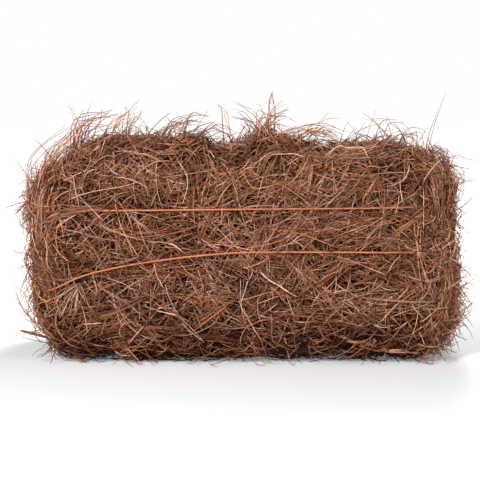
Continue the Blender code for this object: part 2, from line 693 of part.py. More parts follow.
def main():
    clear_scene()
    scene = bpy.context.scene.collection
    locks = bpy.data.collections.new("locks")
    sockets = bpy.data.collections.new("sockets")
    scene.children.link(locks)
    scene.children.link(sockets)
    straw = finish("straw", (0.22, 0.095, 0.058), 0.62)
    poly_twine = finish("poly_twine", (0.72, 0.19, 0.05), 0.45)
    bark = finish("bark", (0.07, 0.035, 0.022), 0.8)
    dice = random.Random(14)

    bm = block_mesh()
    surface = BVHTree.FromBMesh(bm)
    packed = to_object(bm, "packed_straw", straw)
    visible = [packed]

    twine_points = []
    for name, route in (("twine_upper", UPPER_ROUTE), ("twine_lower", LOWER_ROUTE)):
        points = pulled_tight(surface, route, TWINE_STEPS)
        twine_points += points
        visible.append(twine_piece(
            name, points, surface, TWINE_RADIUS, 0.0, TWINE_SIDES_STEP, poly_twine, scene
        ))
        as_helper(twine_piece(
            name + "_groove", points, surface, GROOVE_RADIUS, 2 * GAP, GROOVE_SIDES_STEP, None, sockets
        ))

    for start in lock_starts(dice):
        lock_of_needles(surface, twine_points, start, dice, locks)
    surface = BVHTree.FromBMesh(cut_or_join(packed, "UNION", locks))

    for number, (place, paths) in enumerate(STRAYS, 1):
        root, leave = bedded(surface, place, paths[0][0])
        name = f"stray_needles_{number:02d}"
        visible.append(needle_bundle(name, root, leave, paths, straw, scene))
        needle_socket(name + "_socket", root, leave, paths, sockets)

    for name, (place, towards, *size) in LITTER.items():
        visible.append(flake(name, place, towards, size, 0.0, surface, bark, scene))
        as_helper(flake(name + "_socket", place, towards, size, GAP, surface, None, sockets))
    visible.append(twig("twig_stub", 0.0, surface, bark, scene))
    as_helper(twig("twig_socket", GAP, surface, None, sockets))

    cut_or_join(packed, "DIFFERENCE", sockets)
    centre_over_origin(visible)


main()
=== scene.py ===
# %% [markdown]
# # A square bale of pine straw
# Pine straw is the litter under pine trees: long dry needles, two or three to a sheath. A baler presses
# it into a block and ties it lengthwise with two twines. The block's solid, the twines and the loose
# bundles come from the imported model. This lesson dresses them with real needles, one closed mesh each.

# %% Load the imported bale
import json
import math

import bmesh
import bpy
import numpy as np
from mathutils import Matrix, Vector
from mathutils.bvhtree import BVHTree

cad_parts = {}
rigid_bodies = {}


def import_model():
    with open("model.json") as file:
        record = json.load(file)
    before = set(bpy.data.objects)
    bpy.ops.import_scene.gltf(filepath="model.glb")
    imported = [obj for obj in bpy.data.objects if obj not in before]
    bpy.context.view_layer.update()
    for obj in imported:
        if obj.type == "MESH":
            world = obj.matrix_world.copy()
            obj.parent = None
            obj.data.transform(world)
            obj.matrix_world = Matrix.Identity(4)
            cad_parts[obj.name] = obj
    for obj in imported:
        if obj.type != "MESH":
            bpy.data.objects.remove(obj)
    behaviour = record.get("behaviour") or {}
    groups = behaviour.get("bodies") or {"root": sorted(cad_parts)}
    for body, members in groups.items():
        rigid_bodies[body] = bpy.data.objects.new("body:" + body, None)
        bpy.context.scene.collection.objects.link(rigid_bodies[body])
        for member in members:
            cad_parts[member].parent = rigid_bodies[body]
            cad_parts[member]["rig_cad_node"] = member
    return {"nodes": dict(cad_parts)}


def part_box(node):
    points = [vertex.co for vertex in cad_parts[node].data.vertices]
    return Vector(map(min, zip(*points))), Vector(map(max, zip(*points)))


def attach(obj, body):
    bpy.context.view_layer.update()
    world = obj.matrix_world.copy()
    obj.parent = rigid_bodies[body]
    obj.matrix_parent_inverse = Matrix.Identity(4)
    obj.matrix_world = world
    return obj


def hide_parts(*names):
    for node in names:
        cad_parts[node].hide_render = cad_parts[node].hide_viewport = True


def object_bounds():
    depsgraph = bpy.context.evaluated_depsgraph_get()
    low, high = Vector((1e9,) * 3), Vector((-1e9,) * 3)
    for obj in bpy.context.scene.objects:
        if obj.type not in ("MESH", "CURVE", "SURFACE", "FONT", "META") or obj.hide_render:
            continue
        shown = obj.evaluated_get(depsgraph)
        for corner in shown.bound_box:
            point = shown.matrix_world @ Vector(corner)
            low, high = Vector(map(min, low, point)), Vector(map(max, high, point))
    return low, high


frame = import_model()
cad_low, cad_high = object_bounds()
straw_low, straw_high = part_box("packed_straw")
print("box of the packed pieces, m:", [round(b - a, 3) for a, b in zip(cad_low, cad_high)])

# %% [markdown]
# ## The photograph's own measure
# The block is a common 14 x 14 x 28 inch bale. Its front fills about 440 of the picture's 480 pixels,
# so one pixel is 1.614 mm there. Places on the front are read in pixels and turned into metres with
# these values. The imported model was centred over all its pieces, so the block's own middle lies a
# little beside the origin, and the longest loose needle on the left tells how far.

# %% Measures of the picture
PICTURE_SIDE = 480
METRE_PER_PIXEL = 0.001614
MIDDLE_PIXEL_X = 244.5
BASE_PIXEL_Y = 366.0
VIEW_ELEVATION = 6.0
LEFT_TIP_REACH = 0.394
FRONT_Y = -0.173
middle_x = cad_low.x + LEFT_TIP_REACH


def front_place(pixel_x, pixel_y):
    """The place on the front face that the photograph shows at a pixel."""
    x = (pixel_x - MIDDLE_PIXEL_X) * METRE_PER_PIXEL + middle_x
    z = (BASE_PIXEL_Y - pixel_y) * METRE_PER_PIXEL / math.cos(math.radians(VIEW_ELEVATION))
    return Vector((x, FRONT_Y, z))


print("the block's middle is at x =", round(middle_x, 4))

# %% [markdown]
# ## Camera
# The bale was photographed square on from slightly above, from a few metres away, so its sides hardly
# converge. A long lens from 2.4 m gives the same flat look. The camera aims at the place on the front
# that the middle pixel shows, so it needs no shift.

# %% Camera
CAMERA_DISTANCE = 2.4
SENSOR_WIDTH = 36.0
CAMERA_RISE_PIXELS = 1.5

aim = front_place(PICTURE_SIDE / 2, PICTURE_SIDE / 2 - CAMERA_RISE_PIXELS)
tilt = math.radians(VIEW_ELEVATION)
back = Vector((0.0, -math.cos(tilt), math.sin(tilt)))
camera = bpy.data.objects.new("camera", bpy.data.cameras.new("camera"))
camera.data.sensor_width = SENSOR_WIDTH
camera.data.lens = SENSOR_WIDTH * CAMERA_DISTANCE / (PICTURE_SIDE * METRE_PER_PIXEL)
camera.location = aim + back * CAMERA_DISTANCE
camera.rotation_euler = (-back).to_track_quat("-Z", "Y").to_euler()
camera.data.clip_end = 50.0
bpy.context.scene.collection.objects.link(camera)
bpy.context.scene.camera = camera
print("lens, mm:", round(camera.data.lens, 1))

# %% [markdown]
# ## Floor, sky and lights
# The picture has a plain white ground. A wide pale floor that glows gives that: painted light, which is
# weak within half a metre of the bale and grows to full far off, so a painted shade lies round the bale's
# foot. The sky is white all round and dimmer overhead, so the top of the bale isn't brighter than its
# front. A soft lamp in front throws small shadows between the needles.

# %% Studio
FLOOR_SIDE = 30.0
FLOOR_COLOUR = (0.62, 0.62, 0.62, 1.0)
FLOOR_GLOW = (0.20, 0.85)
GLOW_GROWS = (0.45, 2.2)
SKY_LOW = 1.0
SKY_OVERHEAD = 0.18
SKY_FADE = (0.05, 0.55)


def plain_material(name, colour, roughness):
    mat = bpy.data.materials.new(name)
    mat.use_nodes = True
    shader = mat.node_tree.nodes["Principled BSDF"]
    shader.inputs["Base Color"].default_value = colour
    shader.inputs["Roughness"].default_value = roughness
    return mat


def soft_light(name, place, towards, side, power):
    data = bpy.data.lights.new(name, "AREA")
    data.shape = "SQUARE"
    data.size = side
    data.energy = power
    lamp = bpy.data.objects.new(name, data)
    lamp.location = place
    lamp.rotation_euler = (Vector(towards) - Vector(place)).to_track_quat("-Z", "Y").to_euler()
    bpy.context.scene.collection.objects.link(lamp)
    return lamp


bpy.ops.object.select_all(action="DESELECT")
bpy.ops.mesh.primitive_plane_add(size=FLOOR_SIDE, location=(0, 0, -0.0005))
floor = bpy.context.object
floor.name = "floor"
floor_material = plain_material("pale_floor", FLOOR_COLOUR, 0.9)
floor_tree = floor_material.node_tree
# Painted light: the floor glows, weakly near the bale and fully far off, which leaves a painted shade round its
# foot.
floor_place = floor_tree.nodes.new("ShaderNodeTexCoord")
floor_reach = floor_tree.nodes.new("ShaderNodeVectorMath")
floor_reach.operation = "LENGTH"
floor_glow = floor_tree.nodes.new("ShaderNodeMapRange")
for label, value in zip(("From Min", "From Max", "To Min", "To Max"), (*GLOW_GROWS, *FLOOR_GLOW)):
    floor_glow.inputs[label].default_value = value
floor_tree.links.new(floor_place.outputs["Object"], floor_reach.inputs[0])
floor_tree.links.new(floor_reach.outputs["Value"], floor_glow.inputs["Value"])
floor_tree.links.new(floor_glow.outputs[0], floor_tree.nodes["Principled BSDF"].inputs["Emission Strength"])
floor_tree.nodes["Principled BSDF"].inputs["Emission Color"].default_value = (1, 1, 1, 1)
floor.data.materials.append(floor_material)

sky = bpy.data.worlds.new("pale_sky")
sky.use_nodes = True
sky_place = sky.node_tree.nodes.new("ShaderNodeTexCoord")
sky_split = sky.node_tree.nodes.new("ShaderNodeSeparateXYZ")
sky_strength = sky.node_tree.nodes.new("ShaderNodeMapRange")
for label, value in zip(("From Min", "From Max", "To Min", "To Max"), (*SKY_FADE, SKY_LOW, SKY_OVERHEAD)):
    sky_strength.inputs[label].default_value = value
sky.node_tree.links.new(sky_place.outputs["Generated"], sky_split.inputs[0])
sky.node_tree.links.new(sky_split.outputs["Z"], sky_strength.inputs["Value"])
sky.node_tree.links.new(sky_strength.outputs[0], sky.node_tree.nodes["Background"].inputs["Strength"])
sky.node_tree.nodes["Background"].inputs["Color"].default_value = (1, 1, 1, 1)
bpy.context.scene.world = sky
bpy.context.scene.view_settings.view_transform = "Standard"

soft_light("key", (-0.9, -2.3, 1.25), (0, 0, 0.20), 0.30, 97.0)
soft_light("fill", (1.7, -1.8, 1.0), (0, 0, 0.20), 0.8, 19.0)
soft_light("back", (0.5, 2.1, 1.6), (0, 0, 0.25), 0.6, 66.0)

# %% [markdown]
# ## Needle colours
# Every needle is one of a few kinds of brown, and darker or paler than its neighbours. Part of that
# darkness is painted shade: deep in the straw, in hollows and the twines' grooves, on faces turned down,
# at the foot and along the top edge. A needle's mesh carries its kind and shade in its UV map: across the
# map there are 64 narrow columns, 8 kinds with 8 shades each, and the needle's length runs up the map. The
# colour is worked out from the map alone, so the needles can share it, and a bundle of meshes with
# thousands of needles still needs only one material.

# %% Node group for the needles
KINDS = 8
SHADES = 8
COLUMNS = KINDS * SHADES
KIND_COLOURS = [
    (0.130, 0.044, 0.023), (0.260, 0.092, 0.046), (0.345, 0.116, 0.053), (0.290, 0.128, 0.077),
    (0.215, 0.095, 0.060), (0.485, 0.190, 0.090), (0.460, 0.240, 0.158), (0.550, 0.335, 0.240),
]


def add_node(tree, kind, place, **settings):
    node = tree.nodes.new(kind)
    node.location = place
    for name, value in settings.items():
        setattr(node, name, value)
    return node


def new_group(name, outputs):
    """An empty shader group with numbers in and the named values out."""
    group = bpy.data.node_groups.new(name, "ShaderNodeTree")
    for label, kind in outputs:
        group.interface.new_socket(label, in_out="OUTPUT", socket_type=kind)
    return group


def math_node(tree, operation, place, first, second=None):
    node = add_node(tree, "ShaderNodeMath", place, operation=operation)
    for socket, value in zip(node.inputs, (first, second)):
        if value is None:
            continue
        if isinstance(value, (int, float)):
            socket.default_value = value
        else:
            tree.links.new(value, socket)
    return node.outputs[0]


def set_ramp(node, stops, interpolation="LINEAR"):
    ramp = node.color_ramp
    ramp.interpolation = interpolation
    while len(ramp.elements) > 1:
        ramp.elements.remove(ramp.elements[-1])
    ramp.elements[0].position = stops[0][0]
    ramp.elements[0].color = stops[0][1]
    for position, colour in stops[1:]:
        ramp.elements.new(position).color = colour


def grey(value):
    return (value, value, value, 1.0)


needle_look = new_group("needle_look", [
    ("Colour", "NodeSocketColor"), ("Roughness", "NodeSocketFloat"), ("Height", "NodeSocketFloat"),
])
needle_look.interface.new_socket("Depth of streaks", in_out="INPUT", socket_type="NodeSocketFloat")
group_in = add_node(needle_look, "NodeGroupInput", (-900, -200))
group_out = add_node(needle_look, "NodeGroupOutput", (900, 0))
uv = add_node(needle_look, "ShaderNodeUVMap", (-900, 0), uv_map="OFBake")
split = add_node(needle_look, "ShaderNodeSeparateXYZ", (-720, 0))
needle_look.links.new(uv.outputs["UV"], split.inputs[0])
across, along = split.outputs["X"], split.outputs["Y"]
kind = add_node(needle_look, "ShaderNodeValToRGB", (-400, 240))
set_ramp(kind, [(i / KINDS, (*colour, 1.0)) for i, colour in enumerate(KIND_COLOURS)], "CONSTANT")
needle_look.links.new(across, kind.inputs[0])
shade = math_node(needle_look, "FRACT", (-540, 40), math_node(
    needle_look, "MULTIPLY", (-700, 180), across, float(KINDS)
))
shade_ramp = add_node(needle_look, "ShaderNodeValToRGB", (-400, 0))
set_ramp(shade_ramp, [
    (0.0, (0.020, 0.009, 0.005, 1)), (0.12, (0.092, 0.046, 0.027, 1)), (0.35, (0.475, 0.405, 0.362, 1)),
    (0.7, (1.08, 1.14, 1.19, 1)), (1.0, (1.84, 2.20, 2.46, 1)),
])
needle_look.links.new(shade, shade_ramp.inputs[0])
length_ramp = add_node(needle_look, "ShaderNodeValToRGB", (-400, -240))
set_ramp(length_ramp, [
    (0.0, grey(0.45)), (0.06, grey(0.60)), (0.10, grey(0.95)), (0.55, grey(1.0)), (1.0, grey(1.18)),
])
needle_look.links.new(along, length_ramp.inputs[0])
stretch = add_node(needle_look, "ShaderNodeMapping", (-540, -480))
stretch.inputs["Scale"].default_value = (900.0, 14.0, 1.0)
needle_look.links.new(uv.outputs["UV"], stretch.inputs["Vector"])
streaks = add_node(needle_look, "ShaderNodeTexNoise", (-340, -480))
streaks.inputs["Scale"].default_value = 1.0
streaks.inputs["Detail"].default_value = 3.0
needle_look.links.new(stretch.outputs[0], streaks.inputs["Vector"])


def multiply_colours(tree, place, first, second, factor=1.0):
    node = add_node(tree, "ShaderNodeMix", place, data_type="RGBA", blend_type="MULTIPLY")
    node.inputs["Factor"].default_value = factor
    tree.links.new(first, node.inputs["A"])
    tree.links.new(second, node.inputs["B"])
    return node.outputs["Result"]


streak_ramp = add_node(needle_look, "ShaderNodeValToRGB", (-120, -480))
set_ramp(streak_ramp, [(0.25, grey(0.72)), (0.55, grey(1.0)), (0.8, grey(1.22))])
needle_look.links.new(streaks.outputs["Fac"], streak_ramp.inputs[0])
toned = multiply_colours(needle_look, (60, 160), kind.outputs[0], shade_ramp.outputs[0])
toned = multiply_colours(needle_look, (240, 100), toned, length_ramp.outputs[0])
toned = multiply_colours(needle_look, (420, 40), toned, streak_ramp.outputs[0])
rough = add_node(needle_look, "ShaderNodeMapRange", (240, -260))
rough.inputs["To Min"].default_value = 0.36
rough.inputs["To Max"].default_value = 0.58
needle_look.links.new(streaks.outputs["Fac"], rough.inputs["Value"])
height = math_node(
    needle_look, "MULTIPLY", (420, -420), streaks.outputs["Fac"], group_in.outputs["Depth of streaks"]
)
needle_look.links.new(toned, group_out.inputs["Colour"])
needle_look.links.new(rough.outputs[0], group_out.inputs["Roughness"])
needle_look.links.new(height, group_out.inputs["Height"])
print("needle colours:", len(KIND_COLOURS), "kinds,", SHADES, "shades each")

# %% Needle material


def dressed_material(name, group, streak_depth, bump_distance):
    """A Principled material whose colour, roughness and bump come from a node group."""
    mat = bpy.data.materials.new(name)
    mat.use_nodes = True
    tree = mat.node_tree
    shader = tree.nodes["Principled BSDF"]
    look = add_node(tree, "ShaderNodeGroup", (-600, 0), node_tree=group)
    if "Depth of streaks" in look.inputs:
        look.inputs["Depth of streaks"].default_value = streak_depth
    bump = add_node(tree, "ShaderNodeBump", (-300, -300))
    bump.inputs["Distance"].default_value = bump_distance
    tree.links.new(look.outputs["Colour"], shader.inputs["Base Color"])
    tree.links.new(look.outputs["Roughness"], shader.inputs["Roughness"])
    tree.links.new(look.outputs["Height"], bump.inputs["Height"])
    tree.links.new(bump.outputs["Normal"], shader.inputs["Normal"])
    return mat


needle_material = dressed_material("pine_needles", needle_look, 1.0, 0.0002)
needle_material.node_tree.nodes["Principled BSDF"].inputs["Specular IOR Level"].default_value = 0.07
print("made", needle_material.name)

# %% [markdown]
# ## How far is a place from the straw?
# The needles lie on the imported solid, so their places are worked out from it. A grid of points round
# the bale stores the distance to its surface, below zero inside. Reading between the points then gives
# the distance, and the way out, for hundreds of thousands of places at once.

# %% Distance grid
GRID_STEP = 0.008
GRID_MARGIN = 0.06


def sampled_distances(node):
    """The distance to a CAD node's surface at every point of a grid round it."""
    mesh = node.data
    tree = BVHTree.FromPolygons(
        [v.co for v in mesh.vertices], [tuple(p.vertices) for p in mesh.polygons]
    )
    low, high = (np.array(corner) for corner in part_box(node["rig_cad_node"]))
    low = low - GRID_MARGIN
    counts = np.ceil((high + GRID_MARGIN - low) / GRID_STEP).astype(int) + 1
    field = np.zeros(tuple(counts), np.float32)
    for i in range(counts[0]):
        for j in range(counts[1]):
            for k in range(counts[2]):
                point = Vector(low + np.array((i, j, k)) * GRID_STEP)
                place, normal, _, distance = tree.find_nearest(point)
                field[i, j, k] = distance if (point - place).dot(normal) > 0 else -distance
    padded = np.pad(field, 1, mode="edge")
    smooth = 0.4 * field
    for axis in range(3):
        for shift in (0, 2):
            window = [slice(1, -1)] * 3
            window[axis] = slice(shift, shift + field.shape[axis])
            smooth += 0.1 * padded[tuple(window)]
    return low, smooth


grid_low, grid = sampled_distances(frame["nodes"]["packed_straw"])
grid_slopes = np.gradient(grid, GRID_STEP)
print("distance grid:", grid.shape, "points")

# %% Reading the grid


def read_grid(values, points):
    """Values of the grid at the points, by blending the eight grid points round each."""
    place = (points - grid_low) / GRID_STEP
    place = np.clip(place, 0, np.array(grid.shape) - 1.001)
    cell = place.astype(int)
    part = place - cell
    total = np.zeros(points.shape[:-1])
    for corner in np.ndindex(2, 2, 2):
        weight = np.prod(np.where(np.array(corner) == 1, part, 1 - part), axis=-1)
        index = cell + np.array(corner)
        total += weight * values[index[..., 0], index[..., 1], index[..., 2]]
    return total


def way_out(points):
    slope = np.stack([read_grid(part, points) for part in grid_slopes], axis=-1)
    return unit(slope)


def unit(vectors):
    return vectors / np.maximum(np.linalg.norm(vectors, axis=-1, keepdims=True), 1e-9)


middle_of_front = np.array([front_place(244, 250)])
print("distance from the front's middle, mm:", round(float(read_grid(grid, middle_of_front)[0]) * 1000, 1))

# %% [markdown]
# ## One needle, modelled
# A pine needle is three-sided, thickest near its sheath, and ends in a point. It starts as a triangle
# that is extruded again and again and made smaller towards the tip. Its two ends are merged to a point,
# so the mesh is closed. Models with few rings serve deep in the straw, and those with more rings bend
# more smoothly on top. Only the shape is kept here: each needle of the bale is its own bent copy.

# %% Model a straight needle
NEEDLE_SIDES = 3
END_TAPER = 0.035


def needle_width(t):
    """How thick a needle is at a share of its length, against its thickest."""
    return (0.80 + 0.20 * math.sin(math.pi * min(1.0, t * 2.2 + 0.2))) * (1 - 0.55 * t ** 3)


def model_needle(rings):
    bpy.ops.object.select_all(action="DESELECT")
    bpy.ops.mesh.primitive_circle_add(
        vertices=NEEDLE_SIDES, radius=needle_width(0), location=(0, 0, 0), rotation=(0, 0, 0)
    )
    needle = bpy.context.object
    needle.name = "needle_model"
    bpy.ops.object.mode_set(mode="EDIT")
    bpy.ops.mesh.select_all(action="SELECT")
    bpy.ops.transform.translate(value=(0, 0, END_TAPER))
    steps = np.linspace(END_TAPER, 1 - END_TAPER, rings)
    for before, after in zip(steps, steps[1:]):
        bpy.ops.mesh.extrude_region_move(TRANSFORM_OT_translate={"value": (0, 0, after - before)})
        scale = needle_width(after) / needle_width(before)
        bpy.ops.transform.resize(value=(scale, scale, 1), center_override=(0, 0, after))
    bpy.ops.mesh.extrude_region_move(TRANSFORM_OT_translate={"value": (0, 0, END_TAPER)})
    bpy.ops.mesh.merge(type="CENTER")
    bpy.ops.mesh.select_all(action="DESELECT")
    bpy.ops.object.mode_set(mode="OBJECT")
    for vertex in needle.data.vertices:
        vertex.select = abs(vertex.co.z - END_TAPER) < 1e-5
    bpy.ops.object.mode_set(mode="EDIT")
    bpy.ops.mesh.select_mode(type="VERT")
    bpy.ops.object.mode_set(mode="OBJECT")
    for vertex in needle.data.vertices:
        vertex.select = abs(vertex.co.z - END_TAPER) < 1e-5
    bpy.ops.object.mode_set(mode="EDIT")
    bpy.ops.mesh.extrude_region_move(TRANSFORM_OT_translate={"value": (0, 0, -END_TAPER)})
    bpy.ops.mesh.merge(type="CENTER")
    bpy.ops.mesh.select_all(action="SELECT")
    bpy.ops.mesh.normals_make_consistent(inside=False)
    bpy.ops.object.mode_set(mode="OBJECT")
    return needle


def read_needle(needle):
    """The model's points as shares of its length and offsets from its line, its faces, and its UV corners."""
    mesh = needle.data
    points = np.array([v.co for v in mesh.vertices])
    faces = [tuple(p.vertices) for p in mesh.polygons]
    corners = []
    for face in faces:
        turns = [math.atan2(points[v][1], points[v][0]) for v in face]
        on_line = [np.hypot(points[v][0], points[v][1]) < 1e-6 for v in face]
        known = [turn for turn, pole in zip(turns, on_line) if not pole]
        if max(known) - min(known) > math.pi:
            turns = [turn + 2 * math.pi if turn < 0 else turn for turn in turns]
            known = [turn for turn, pole in zip(turns, on_line) if not pole]
        middle = sum(known) / len(known)
        for v, turn, pole in zip(face, turns, on_line):
            place = (middle if pole else turn) / (2 * math.pi)
            corners.append((place, points[v][2]))
    corners = np.array(corners)
    corners[:, 0] = (corners[:, 0] - corners[:, 0].min()) / np.ptp(corners[:, 0])
    bpy.data.objects.remove(needle)
    return points, faces, corners


NEEDLE_MODELS = {rings: read_needle(model_needle(rings)) for rings in (3, 5, 6, 7, 12)}
print("points in the needle models:", {r: len(m[0]) for r, m in NEEDLE_MODELS.items()})

# %% [markdown]
# ## From paths to a mesh
# A needle's path is as many points as its model has levels. The model is bent along it: at each level
# its triangle is turned square to the path. All the needles of one layer become a single mesh, written
# with arrays, because thousands of separate objects would be slow to handle.

# %% Bend needles along paths
COLUMN_EDGE = 0.15


def bend_needles(paths, radii, columns, outward, rings):
    """Points, faces and UV corners of many needles. paths holds rings + 2 places for each needle."""
    model, faces, corners = NEEDLE_MODELS[rings]
    levels = np.unique(np.round(model[:, 2], 5))
    level_of = np.searchsorted(levels, np.round(model[:, 2], 5))
    forward = unit(np.gradient(paths, axis=1))
    side = unit(np.cross(forward, outward))
    up = np.cross(side, forward)
    points = paths[:, level_of]
    wide = model[:, 0][None, :, None] * radii[:, None, None]
    high = model[:, 1][None, :, None] * radii[:, None, None]
    points = points + side[:, level_of] * wide + up[:, level_of] * high
    count = len(paths)
    across = (columns[:, None] + COLUMN_EDGE + (1 - 2 * COLUMN_EDGE) * corners[None, :, 0]) / COLUMNS
    along = np.broadcast_to(0.01 + 0.98 * corners[None, :, 1], (count, len(corners)))
    return points, faces, np.stack([across, along], axis=-1)


def needle_mesh(name, points, faces, uvs):
    """One mesh object that holds a bent copy of the needle for each row of points."""
    count, size = points.shape[:2]
    sizes = np.array([len(face) for face in faces])
    flat = np.concatenate([np.array(face) for face in faces])
    loops = (flat[None, :] + (np.arange(count) * size)[:, None]).ravel()
    starts = (np.concatenate([[0], np.cumsum(sizes)[:-1]])[None, :]
              + (np.arange(count) * len(flat))[:, None]).ravel()
    mesh = bpy.data.meshes.new(name)
    mesh.vertices.add(count * size)
    mesh.vertices.foreach_set("co", points.astype(np.float32).ravel())
    mesh.loops.add(len(loops))
    mesh.loops.foreach_set("vertex_index", loops.astype(np.int32))
    mesh.polygons.add(len(starts))
    mesh.polygons.foreach_set("loop_start", starts.astype(np.int32))
    mesh.update(calc_edges=True)
    layer = mesh.uv_layers.new(name="OFBake")
    layer.data.foreach_set("uv", uvs.reshape(-1, 2).astype(np.float32).ravel())
    mesh.shade_smooth()
    mesh.validate()
    piece = bpy.data.objects.new(name, mesh)
    bpy.context.scene.collection.objects.link(piece)
    mesh.materials.append(needle_material)
    return piece


print("each needle takes", {r: sum(len(f) - 2 for f in m[1]) for r, m in NEEDLE_MODELS.items()}, "triangles")

# %% [markdown]
# ## The lay of the needles
# Needles fall and are pressed in tufts, so neighbours run the same way, and the next tuft runs another
# way. On the front the lay follows the photograph: upright at both ends, combed sideways under the
# lower twine, slanting at the top. Elsewhere a slow wave turns it. Angles are between the needle and
# the bale's length, and since a needle has no front or back they are blended as doubled angles.

# %% Lay of the needles
FRONT_LAY = [
    (40, 185, 84, 26), (62, 172, 80, 24), (100, 160, 58, 30), (135, 158, 60, 24), (175, 150, -24, 26),
    (160, 176, 86, 18), (215, 168, -60, 20), (205, 195, 42, 24), (255, 150, 34, 18), (268, 172, 76, 24),
    (330, 166, 72, 26), (305, 180, 14, 20), (345, 194, 12, 26), (372, 150, -8, 22), (398, 178, 32, 30),
    (432, 176, 84, 22), (70, 205, 50, 22), (100, 204, 24, 24), (130, 214, -24, 24), (165, 218, 12, 26),
    (225, 228, -8, 26), (285, 206, 34, 24), (310, 222, 34, 24), (345, 228, -4, 26), (402, 220, 40, 26),
    (436, 240, 88, 24), (46, 245, 86, 22), (100, 240, -60, 16), (70, 275, 12, 22), (105, 272, -18, 24),
    (140, 275, 8, 30), (185, 270, -6, 30), (252, 274, 80, 20), (285, 276, -70, 20), (312, 286, -80, 18),
    (350, 270, 0, 28), (398, 272, -26, 24), (436, 284, -86, 24), (44, 306, 78, 24), (70, 300, 55, 18),
    (110, 300, -12, 28), (160, 302, 4, 30), (215, 300, -14, 28), (252, 300, 66, 16), (340, 298, -12, 28),
    (385, 300, -20, 28), (72, 325, 22, 24), (110, 326, -6, 28), (160, 328, -20, 28), (215, 330, -22, 28),
    (265, 328, -14, 26), (310, 326, -22, 26), (355, 328, -18, 28), (402, 326, -34, 26), (432, 330, -46, 24),
    (90, 350, -24, 26), (150, 352, -26, 28), (210, 352, -26, 28), (280, 352, -38, 28), (340, 352, -22, 28),
]
FRONT_PULL = 2.4
TOP_FOLLOWS = 0.8


def face_axes(outward):
    """Level along the face and up it. On the top and the underside, along the length and the depth."""
    level = np.cross(np.array((0.0, 0.0, 1.0)), outward)
    flat = np.linalg.norm(level, axis=-1) < 0.6
    along_x = np.array((1.0, 0.0, 0.0)) - outward * outward[..., :1]
    level = unit(np.where(flat[..., None], along_x, level))
    return level, np.cross(outward, level)


def lay_angles(places, outward):
    """The angle of the needles, in radians, at each place on the straw."""
    x, y, z = places[:, 0] - middle_x, places[:, 1], places[:, 2]
    wave = 40 * np.sin(11 * x + 9 * z + 8 * y) + 34 * np.sin(23 * x - 17 * y + 5) * np.cos(19 * z + 13 * y)
    double = np.radians(2 * wave)
    cosine, sine = np.cos(double), np.sin(double)
    facing = np.clip(-outward[:, 1] * 1.6 - 0.3, 0, 1) + TOP_FOLLOWS * np.clip(outward[:, 2], 0, 1)
    for pixel_x, pixel_y, angle, reach in FRONT_LAY:
        spot = front_place(pixel_x, pixel_y)
        gap = (places[:, 0] - spot.x) ** 2 + (z - spot.z) ** 2
        share = facing * FRONT_PULL * np.exp(-gap / (reach * METRE_PER_PIXEL) ** 2)
        cosine += share * math.cos(math.radians(2 * angle))
        sine += share * math.sin(math.radians(2 * angle))
    return np.arctan2(sine, cosine) / 2


print("places where the front's lay is known:", len(FRONT_LAY))

# %% [markdown]
# ## Tufts and their needles
# A tuft is a place on the straw with a direction, a height, a tone and a bend of its own. Its needles
# are scattered round it and differ a little from it. Each needle starts as an arc in the surface, with
# a wave and sometimes a kink. It is then moved to its own height over the solid: an end usually dives
# into the straw, some ends spring up, and a stiff needle that reaches over an edge of the bale carries
# on and stands out there.

# %% Scatter places on the straw
dice = np.random.default_rng(2814)
UNDERSIDE_SHARE = 0.30
FRONT_SHARE = 1.45


def surface_places(node, count):
    """Places spread over a CAD node's surface, more on the front and fewer on the underside."""
    mesh = node.data
    mesh.calc_loop_triangles()
    corners = np.array([[mesh.vertices[i].co for i in t.vertices] for t in mesh.loop_triangles])
    normals = np.cross(corners[:, 1] - corners[:, 0], corners[:, 2] - corners[:, 0])
    areas = np.linalg.norm(normals, axis=1)
    shares = np.where(normals[:, 2] < -0.9 * areas, UNDERSIDE_SHARE, 1.0)
    shares = np.where(normals[:, 1] < -0.7 * areas, FRONT_SHARE, shares)
    areas = areas * shares
    chosen = dice.choice(len(corners), count, p=areas / areas.sum())
    a, b = dice.random((2, count))
    flip = a + b > 1
    a, b = np.where(flip, 1 - a, a), np.where(flip, 1 - b, b)
    base = corners[chosen]
    return base[:, 0] + (base[:, 1] - base[:, 0]) * a[:, None] + (base[:, 2] - base[:, 0]) * b[:, None]


def settle(points, heights, pull):
    """Moves points straight out or in until they are at their heights over the straw."""
    for _ in range(3):
        gap = read_grid(grid, points) - heights
        points = points - way_out(points) * (gap * pull)[..., None]
    return points


print("a test place settles to, mm:", np.round(settle(middle_of_front, np.zeros(1), 1.0) * 1000, 1).tolist())

# %% Hollows and the twines' grooves
HOLLOWS = [
    (218, 146, 9, 0.020), (341, 142, 11, 0.014), (57, 187, 9, 0.015), (135, 284, 10, 0.011),
    (65, 270, 8, 0.013), (230, 284, 10, 0.014), (225, 348, 14, 0.016), (262, 356, 14, 0.016),
    (305, 347, 15, 0.024), (338, 348, 16, 0.026), (372, 346, 15, 0.022), (405, 344, 12, 0.014),
    (100, 345, 14, 0.012), (165, 342, 16, 0.012), (215, 185, 8, 0.010), (310, 200, 9, 0.009),
    (160, 205, 8, 0.009), (390, 235, 9, 0.010), (290, 315, 9, 0.010), (120, 240, 8, 0.008),
]
TWINE_PIXELS = [
    [(107, 211), (260, 208), (407, 207)],
    [(45, 290), (60, 280), (100, 268), (150, 260), (200, 254), (240, 252), (408, 251)],
]
GROOVE_DEPTH = 0.0045
GROOVE_REACH = 0.008
DIP_DEPTH = 0.012


def distance_to_line(x, z, pixels):
    """How far places on the front are from a line through pixels of the picture."""
    nearest = np.full(x.shape, 1.0)
    corners = [front_place(*pixel) for pixel in pixels]
    for a, b in zip(corners, corners[1:]):
        run, rise = b.x - a.x, b.z - a.z
        share = np.clip(((x - a.x) * run + (z - a.z) * rise) / (run ** 2 + rise ** 2), 0, 1)
        nearest = np.minimum(nearest, np.hypot(x - a.x - share * run, z - a.z - share * rise))
    return nearest


